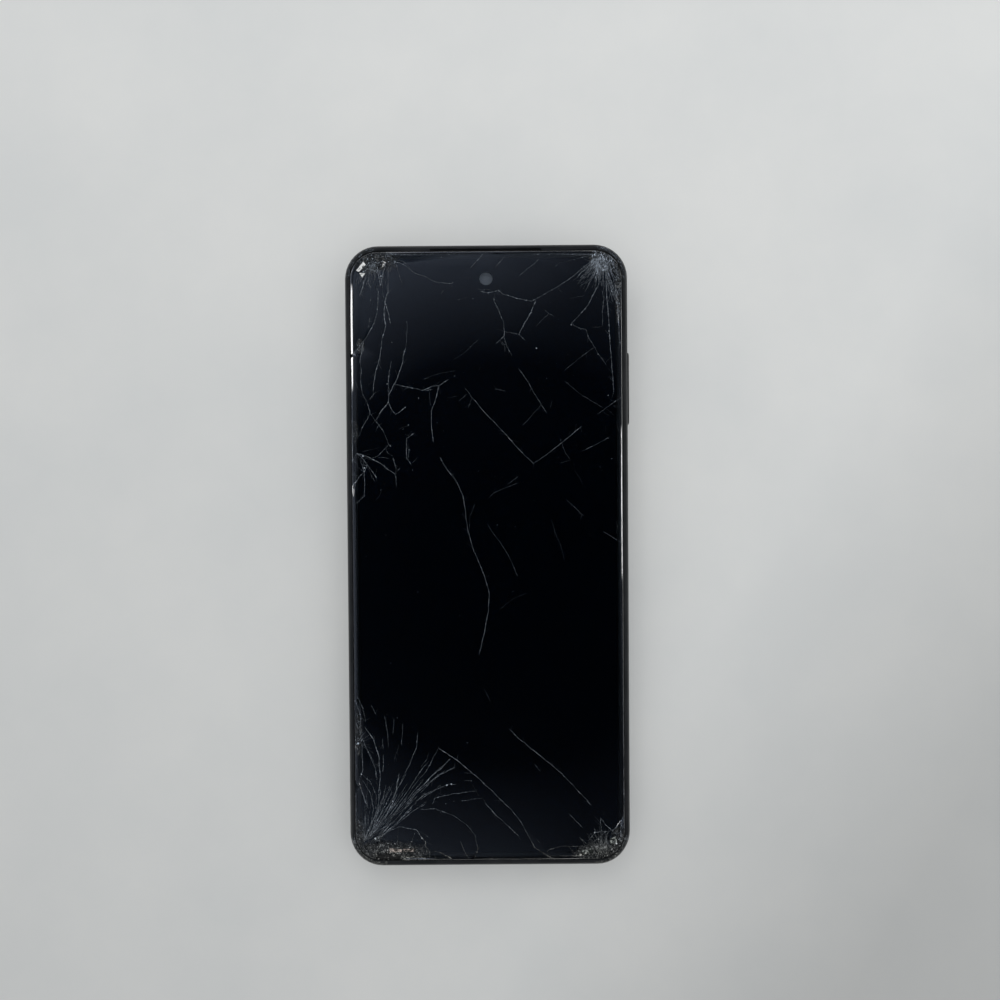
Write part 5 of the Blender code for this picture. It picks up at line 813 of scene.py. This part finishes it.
looks = {
    "satinBlack": {"colour": (0.010, 0.011, 0.012), "second": (0.020, 0.021, 0.023), "rough": 0.34,
                   "dust": 0.25, "dustFrom": 0.62, "dustColour": (0.16, 0.155, 0.15), "bump": 0.12,
                   "shine": 0.2},
    "coverBlack": {"colour": (0.022, 0.023, 0.026), "second": (0.034, 0.035, 0.039), "rough": 0.26,
                   "dust": 0.25, "dustFrom": 0.64, "coat": 0.4, "mottleSize": 18.0, "bump": 0.05},
    "islandBlack": {"colour": (0.018, 0.018, 0.020), "second": (0.030, 0.030, 0.034), "rough": 0.2,
                    "dust": 0.3, "coat": 0.5},
    "cameraBlack": {"colour": (0.016, 0.016, 0.018), "second": (0.030, 0.030, 0.034), "rough": 0.4},
    "plastic": {"colour": (0.022, 0.022, 0.024), "second": (0.034, 0.034, 0.036), "rough": 0.6, "grain": 0.9},
    "foam": {"colour": (0.010, 0.010, 0.011), "second": (0.018, 0.018, 0.019), "rough": 0.8, "grain": 1.0},
    "steel": {"colour": (0.52, 0.52, 0.53), "second": (0.40, 0.40, 0.41), "rough": 0.3, "metal": 1.0,
              "dust": 0.1, "rub": 0.6},
    "darkSteel": {"colour": (0.30, 0.30, 0.31), "second": (0.18, 0.18, 0.19), "rough": 0.32, "metal": 1.0,
                  "dust": 0.1},
    "gold": {"colour": (0.60, 0.47, 0.24), "second": (0.42, 0.34, 0.18), "rough": 0.3, "metal": 1.0, "dust": 0.1},
    "amberFilm": {"colour": (0.36, 0.17, 0.03), "second": (0.28, 0.12, 0.02), "rough": 0.35, "coat": 0.3,
                  "dust": 0.1},
    "blackFilm": {"colour": (0.020, 0.020, 0.021), "second": (0.032, 0.032, 0.034), "rough": 0.45, "dust": 0.1},
    "board": {"colour": (0.010, 0.062, 0.036), "second": (0.007, 0.040, 0.024), "rough": 0.4, "dust": 0.1,
              "mottleSize": 2.0},
    "graphite": {"colour": (0.055, 0.055, 0.060), "second": (0.035, 0.035, 0.038), "rough": 0.35, "metal": 0.4,
                 "rub": 0.8},
    "flash": {"colour": (0.80, 0.76, 0.60), "second": (0.66, 0.60, 0.40), "rough": 0.25, "dust": 0.1, "coat": 0.5},
    # painted light: the front camera is made far paler than a dark lens, to make up for the shade in its hole
    "frontCameraPaintedLight": {"colour": (0.58, 0.51, 0.50), "second": (0.66, 0.57, 0.55), "rough": 0.5, "dust": 0.1},
    "meshBlack": {"colour": (0.010, 0.010, 0.010), "second": (0.022, 0.022, 0.022), "rough": 0.7, "grain": 1.0},
}

wears = {
    "satinBlack": ["mid_frame", "sim_tray", "volume_rocker", "power_key"],
    "coverBlack": ["rear_cover"],
    "islandBlack": ["camera_island"],
    "cameraBlack": ["main_camera", "wide_camera", "macro_camera"],
    "plastic": ["antenna_cover", "speaker_cover", "loudspeaker", "battery"],
    "foam": ["display_adhesive"],
    "steel": ["processor_shield", "power_shield", "sim_socket", "usb_c_socket", "vibration_motor",
              "earpiece_speaker"],
    "gold": ["bottom_microphone"],
    "amberFilm": ["display_flex", "key_flex"],
    "blackFilm": ["board_flex", "antenna_lead"],
    "board": ["main_board", "charge_board"],
    "graphite": ["thermal_sheet"],
    "flash": ["flash_lens"],
    "frontCameraPaintedLight": ["front_camera"],
    "meshBlack": ["earpiece_mesh"],
}


def displayMaterial():
    # switched-off screen: near black, with a painted reflection that makes it faintly blue and bluer and lighter
    # towards the top
    material, tree, out = nodeTree("screen off")
    place = where(tree)
    split = add(tree, "SeparateXYZ", Vector=place)
    top = calc(tree, "MULTIPLY_ADD", split.outputs["Y"], 1 / 170.0, 0.5)
    # painted reflection: a faint blue glow in the screen's colour, brighter towards the top
    paintedBlueGlow = ramp(tree, top, (0.25, (0.0006, 0.0036, 0.0090)), (0.95, (0.0004, 0.0050, 0.0130)))
    cloud = noiseAt(tree, place, 14.0, 3)
    colour = mixColour(tree, calc(tree, "MULTIPLY", cloud, 0.5), paintedBlueGlow, (0.0022, 0.0036, 0.0072))
    shader = add(tree, "BsdfPrincipled", Base_Color=colour, Roughness=0.35)
    shader.inputs["Specular IOR Level"].default_value = 0.02
    tree.links.new(shader.outputs[0], out.inputs[0])
    return material


def windowMaterial():
    # dark camera windows with a coloured coating
    material, tree, out = nodeTree("camera window")
    place = where(tree)
    tone = noiseAt(tree, place, 3.0, 2)
    colour = mixColour(tree, tone, (0.006, 0.007, 0.012), (0.012, 0.009, 0.018))
    shader = add(tree, "BsdfPrincipled", Base_Color=colour, Roughness=0.04)
    shader.inputs["Coat Weight"].default_value = 1.0
    shader.inputs["Coat Roughness"].default_value = 0.02
    tree.links.new(shader.outputs[0], out.inputs[0])
    return material


shards = {
    "top_left": {"clear": (0.16, 0.165, 0.17), "white": (0.86, 0.86, 0.85), "from": 0.30, "to": 0.52},
    "bottom_left": {"clear": (0.030, 0.027, 0.024), "white": (0.62, 0.53, 0.48), "from": 0.42, "to": 0.62},
    "bottom_right": {"clear": (0.014, 0.016, 0.015), "white": (0.50, 0.53, 0.50), "from": 0.50, "to": 0.64},
}


def shardMaterial(name, look):
    # loose splinters: clear in the middle, white on the broken faces
    material, tree, out = nodeTree("splinter " + name)
    place = where(tree)
    frost = ramp(tree, noiseAt(tree, place, 0.7, 6, 0.75), (look["from"], 0.0), (look["to"], 1.0))
    colour = mixColour(tree, frost, look["clear"], look["white"])
    shader = add(tree, "BsdfPrincipled", Base_Color=colour, Roughness=0.3)
    shader.inputs["Specular IOR Level"].default_value = 0.2
    tree.links.new(shader.outputs[0], out.inputs[0])
    return material


for lookName, names in wears.items():
    material = surface(lookName, looks[lookName])
    for name in names:
        wear(nodes[name], material)
screwMaterial = surface("darkSteel", looks["darkSteel"])
shardLooks = {corner: shardMaterial(corner, look) for corner, look in shards.items()}
windowLook = windowMaterial()
for name, obj in nodes.items():
    if name.startswith("screw_"):
        wear(obj, screwMaterial)
    elif name.startswith("glass_shard"):
        wear(obj, next(look for corner, look in shardLooks.items() if corner in name))
    elif name.startswith("camera_window"):
        wear(obj, windowLook)
wear(nodes["display_panel"], displayMaterial())

# pieces whose round corners are shaded smooth, and the slot each one fills
smoothed = {"mid_frame": "frame_black", "rear_cover": "cover_black", "camera_island": "island_black"}


def smoothCopy(name):
    # same shape as the CAD piece, with soft shading on its rounds and sharp edges kept
    bm = bmesh.new()
    bm.from_mesh(nodes[name].data)
    bm.transform(nodes[name].matrix_world)
    bmesh.ops.remove_doubles(bm, verts=bm.verts, dist=0.0000005)
    mesh = bpy.data.meshes.new(name + "_smooth")
    bm.to_mesh(mesh)
    bm.free()
    mesh.shade_smooth()
    mesh.set_sharp_from_angle(angle=math.radians(24))
    obj = bpy.data.objects.new(name + "_smooth", mesh)
    bpy.context.scene.collection.objects.link(obj)
    wear(obj, nodes[name].data.materials[0])
    modifier = obj.modifiers.new("even shading", "WEIGHTED_NORMAL")
    modifier.keep_sharp = True
    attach(obj, "phone")
    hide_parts(name)


for name, slot in smoothed.items():
    smoothCopy(name)
print("materials done")

# table, camera and light

table = {
    "colour": (0.60, 0.60, 0.585),
    "second": (0.565, 0.57, 0.56),
    "size": 9000.0,
    # painted light and shade: the table's colour is made lighter and darker by place, standing in for how the room
    # light falls on it
    "paintedLightUp": 0.0007,          # painted light: lighter towards the top of the picture, per mm
    "paintedLightAcross": 0.0004,
    "paintedLightEnd": 140.0,          # the painted light and shade stay even beyond this many mm from the middle
    "paintedCornerShade": 0.29,       # painted shade: darker towards the lower right
    "paintedShadeFrom": 75.0,        # mm from the middle
    "paintedShadeSlope": 0.6,
    "paintedLift": 0.05,           # painted light: a little lighter all over
    "glow": 0.27,              # share of the light that comes through the milky top
    "tilt": -0.76,             # the phone leans on its camera island and its lower edge
    "level": 0.55,             # height of the table under the middle of the phone, mm
}


def makeTable(look):
    material, tree, out = nodeTree("painted table")
    place = where(tree)
    cloud = noiseAt(tree, place, 60.0, 5, 0.6)
    fine = noiseAt(tree, place, 1.2, 5, 0.6)
    colour = mixColour(tree, ramp(tree, cloud, (0.35, 0.0), (0.65, 1.0)), look["colour"], look["second"])
    # painted light and shade: the colour is multiplied by a factor, lighter towards the top and right, darker towards
    # the lower right
    split = add(tree, "SeparateXYZ", Vector=place)
    across, up = (calc(tree, "MINIMUM", calc(tree, "MAXIMUM", split.outputs[axis], -look["paintedLightEnd"]), look["paintedLightEnd"])
                  for axis in "XY")
    shade = calc(tree, "MULTIPLY_ADD", up, look["paintedLightUp"], 1.0)
    shade = calc(tree, "MULTIPLY_ADD", across, look["paintedLightAcross"], shade)
    corner = calc(tree, "MULTIPLY_ADD", up, -look["paintedShadeSlope"], across)
    corner = calc(tree, "SUBTRACT", corner, look["paintedShadeFrom"])
    shade = calc(tree, "MULTIPLY_ADD", calc(tree, "MULTIPLY", corner, 0.01, clamp=True), -look["paintedCornerShade"], shade)
    shade = calc(tree, "ADD", shade, look["paintedLift"])
    colour = mixColour(tree, 1.0, colour, add(tree, "CombineXYZ", X=shade, Y=shade, Z=shade).outputs[0], "MULTIPLY")
    bump = add(tree, "Bump", Height=fine, Strength=0.06, Distance=0.0001)
    shader = add(tree, "BsdfPrincipled", Base_Color=colour, Roughness=0.6, Normal=bump.outputs[0])
    shader.inputs["Specular IOR Level"].default_value = 0.2
    through = add(tree, "BsdfTranslucent", Color=mixColour(tree, 1.0, colour, (1.6, 1.6, 1.6), "MULTIPLY"))
    top = add(tree, "MixShader", Fac=look["glow"])
    tree.links.new(shader.outputs[0], top.inputs[1])
    tree.links.new(through.outputs[0], top.inputs[2])
    tree.links.new(top.outputs[0], out.inputs[0])
    mesh = bpy.data.meshes.new("table")
    half = look["size"] / 2 * mm
    mesh.from_pydata([(-half, -half, 0), (half, -half, 0), (half, half, 0), (-half, half, 0)], [], [(0, 1, 2, 3)])
    obj = bpy.data.objects.new("table", mesh)
    obj.location = (0, 0, look["level"] * mm)
    obj.rotation_euler = (math.radians(look["tilt"]), 0, 0)
    bpy.context.scene.collection.objects.link(obj)
    wear(obj, material)
    return obj


makeTable(table)

view = {
    "place": (3.34, 17.87, 209.98),   # mm, above the screen
    "turn": (-0.76, 0.0, -0.421),
    "lens": 27.0,
}
cameraData = bpy.data.cameras.new("camera")
cameraData.lens = view["lens"]
cameraData.clip_start = 0.01
camera = bpy.data.objects.new("camera", cameraData)
camera.location = Vector(view["place"]) * mm
camera.rotation_euler = [math.radians(angle) for angle in view["turn"]]
bpy.context.scene.collection.objects.link(camera)
bpy.context.scene.camera = camera

sky = {
    "strength": 1.0,
    "horizon": 0.75,
    "side": 1.05,
    "lean": (0.10, 0.20),      # more light from the right and the top of the picture
    "tint": (0.98, 1.0, 1.02),
    "mirrorTint": (0.85, 0.97, 1.25),
    "mirrorLean": (-0.35, 0.85),
    "overhead": 0.003,         # straight up is dark: whoever holds the camera
    # bright windows that show as white lines in the rounded rim of the glass
    "windows": {
        "left": {"side": -1, "along": (0.128, 0.263), "up": (0.42, 0.84), "level": 1.6},
        "right": {"side": 1, "along": (-0.12, 0.085), "up": (0.42, 0.80), "level": 1.4},
    },
}


def between(tree, value, low, high, soft):
    # 1 inside a band, with soft ends
    up = calc(tree, "DIVIDE", calc(tree, "SUBTRACT", value, low), soft, clamp=True)
    down = calc(tree, "DIVIDE", calc(tree, "SUBTRACT", high, value), soft, clamp=True)
    return calc(tree, "MULTIPLY", up, down)


def makeSky(look):
    world = bpy.data.worlds.new("room")
    bpy.context.scene.world = world
    world.use_nodes = True
    tree = world.node_tree
    tree.nodes.clear()
    out = tree.nodes.new("ShaderNodeOutputWorld")
    coords = add(tree, "TexCoord")
    x, y, z = add(tree, "SeparateXYZ", Vector=coords.outputs["Generated"]).outputs
    lean = calc(tree, "MULTIPLY_ADD", y, look["lean"][1], 1.0)
    lean = calc(tree, "MULTIPLY_ADD", x, look["lean"][0], lean)
    light = calc(tree, "MULTIPLY", lean, ramp(tree, z, (0.0, look["horizon"]), (0.35, look["side"]),
                                              (0.80, look["side"]), (0.93, 0.1), smooth=True))
    # what the glass mirrors: a soft glow from the top and a fainter one from the bottom of the picture
    tipped = calc(tree, "MULTIPLY_ADD", y, -0.09, z)
    glow = ramp(tree, tipped, (0.0, 0.06), (0.5, 0.03), (0.84, 0.03), (0.88, 0.34), (0.925, 0.27), (0.95, 0.11),
                (0.97, look["overhead"] * 4), (1.0, look["overhead"]))
    side = calc(tree, "MULTIPLY_ADD", x, look["mirrorLean"][0], calc(tree, "MULTIPLY_ADD", y, look["mirrorLean"][1], 1.0))
    glow = calc(tree, "MULTIPLY", glow, side)
    across = ramp(tree, calc(tree, "ADD", x, 0.5), (0.30, 1.15), (0.50, 0.92), (0.60, 0.42), (0.70, 0.28), (0.95, 0.5))
    glow = calc(tree, "MULTIPLY", glow, across)
    bright = None
    for window in look["windows"].values():
        band = calc(tree, "MULTIPLY", between(tree, y, *window["along"], 0.012), between(tree, z, *window["up"], 0.05))
        faces = calc(tree, "GREATER_THAN", calc(tree, "MULTIPLY", x, window["side"]), 0.0)
        shine = calc(tree, "MULTIPLY", calc(tree, "MULTIPLY", band, faces), window["level"])
        bright = shine if bright is None else calc(tree, "ADD", bright, shine)
    mirrored = mixColour(tree, 1.0, glow, look["mirrorTint"], "MULTIPLY")
    mirrored = mixColour(tree, 1.0, mirrored, bright, "ADD")
    lightBall = add(tree, "Background", Strength=look["strength"],
                    Color=mixColour(tree, 1.0, light, look["tint"], "MULTIPLY"))
    mirrorBall = add(tree, "Background", Strength=look["strength"], Color=mirrored)
    path = add(tree, "LightPath")
    both = add(tree, "MixShader", Fac=path.outputs["Is Glossy Ray"])
    tree.links.new(lightBall.outputs[0], both.inputs[1])
    tree.links.new(mirrorBall.outputs[0], both.inputs[2])
    tree.links.new(both.outputs[0], out.inputs[0])


makeSky(sky)

lamps = {
    "top": {"at": (-120, 620, 520), "size": (600, 300), "power": 1.2},
}


def makeLamps():
    for name, lamp in lamps.items():
        data = bpy.data.lights.new(name, "AREA")
        data.shape = "RECTANGLE"
        data.size, data.size_y = (side * mm for side in lamp["size"])
        data.energy = lamp["power"]
        obj = bpy.data.objects.new(name, data)
        obj.location = Vector(lamp["at"]) * mm
        obj.rotation_euler = (-obj.location).to_track_quat("-Z", "Y").to_euler()
        obj.visible_glossy = False      # lights the table but shows in no mirror
        bpy.context.scene.collection.objects.link(obj)


makeLamps()
bpy.context.scene.view_settings.view_transform = "Standard"
print("stage done")
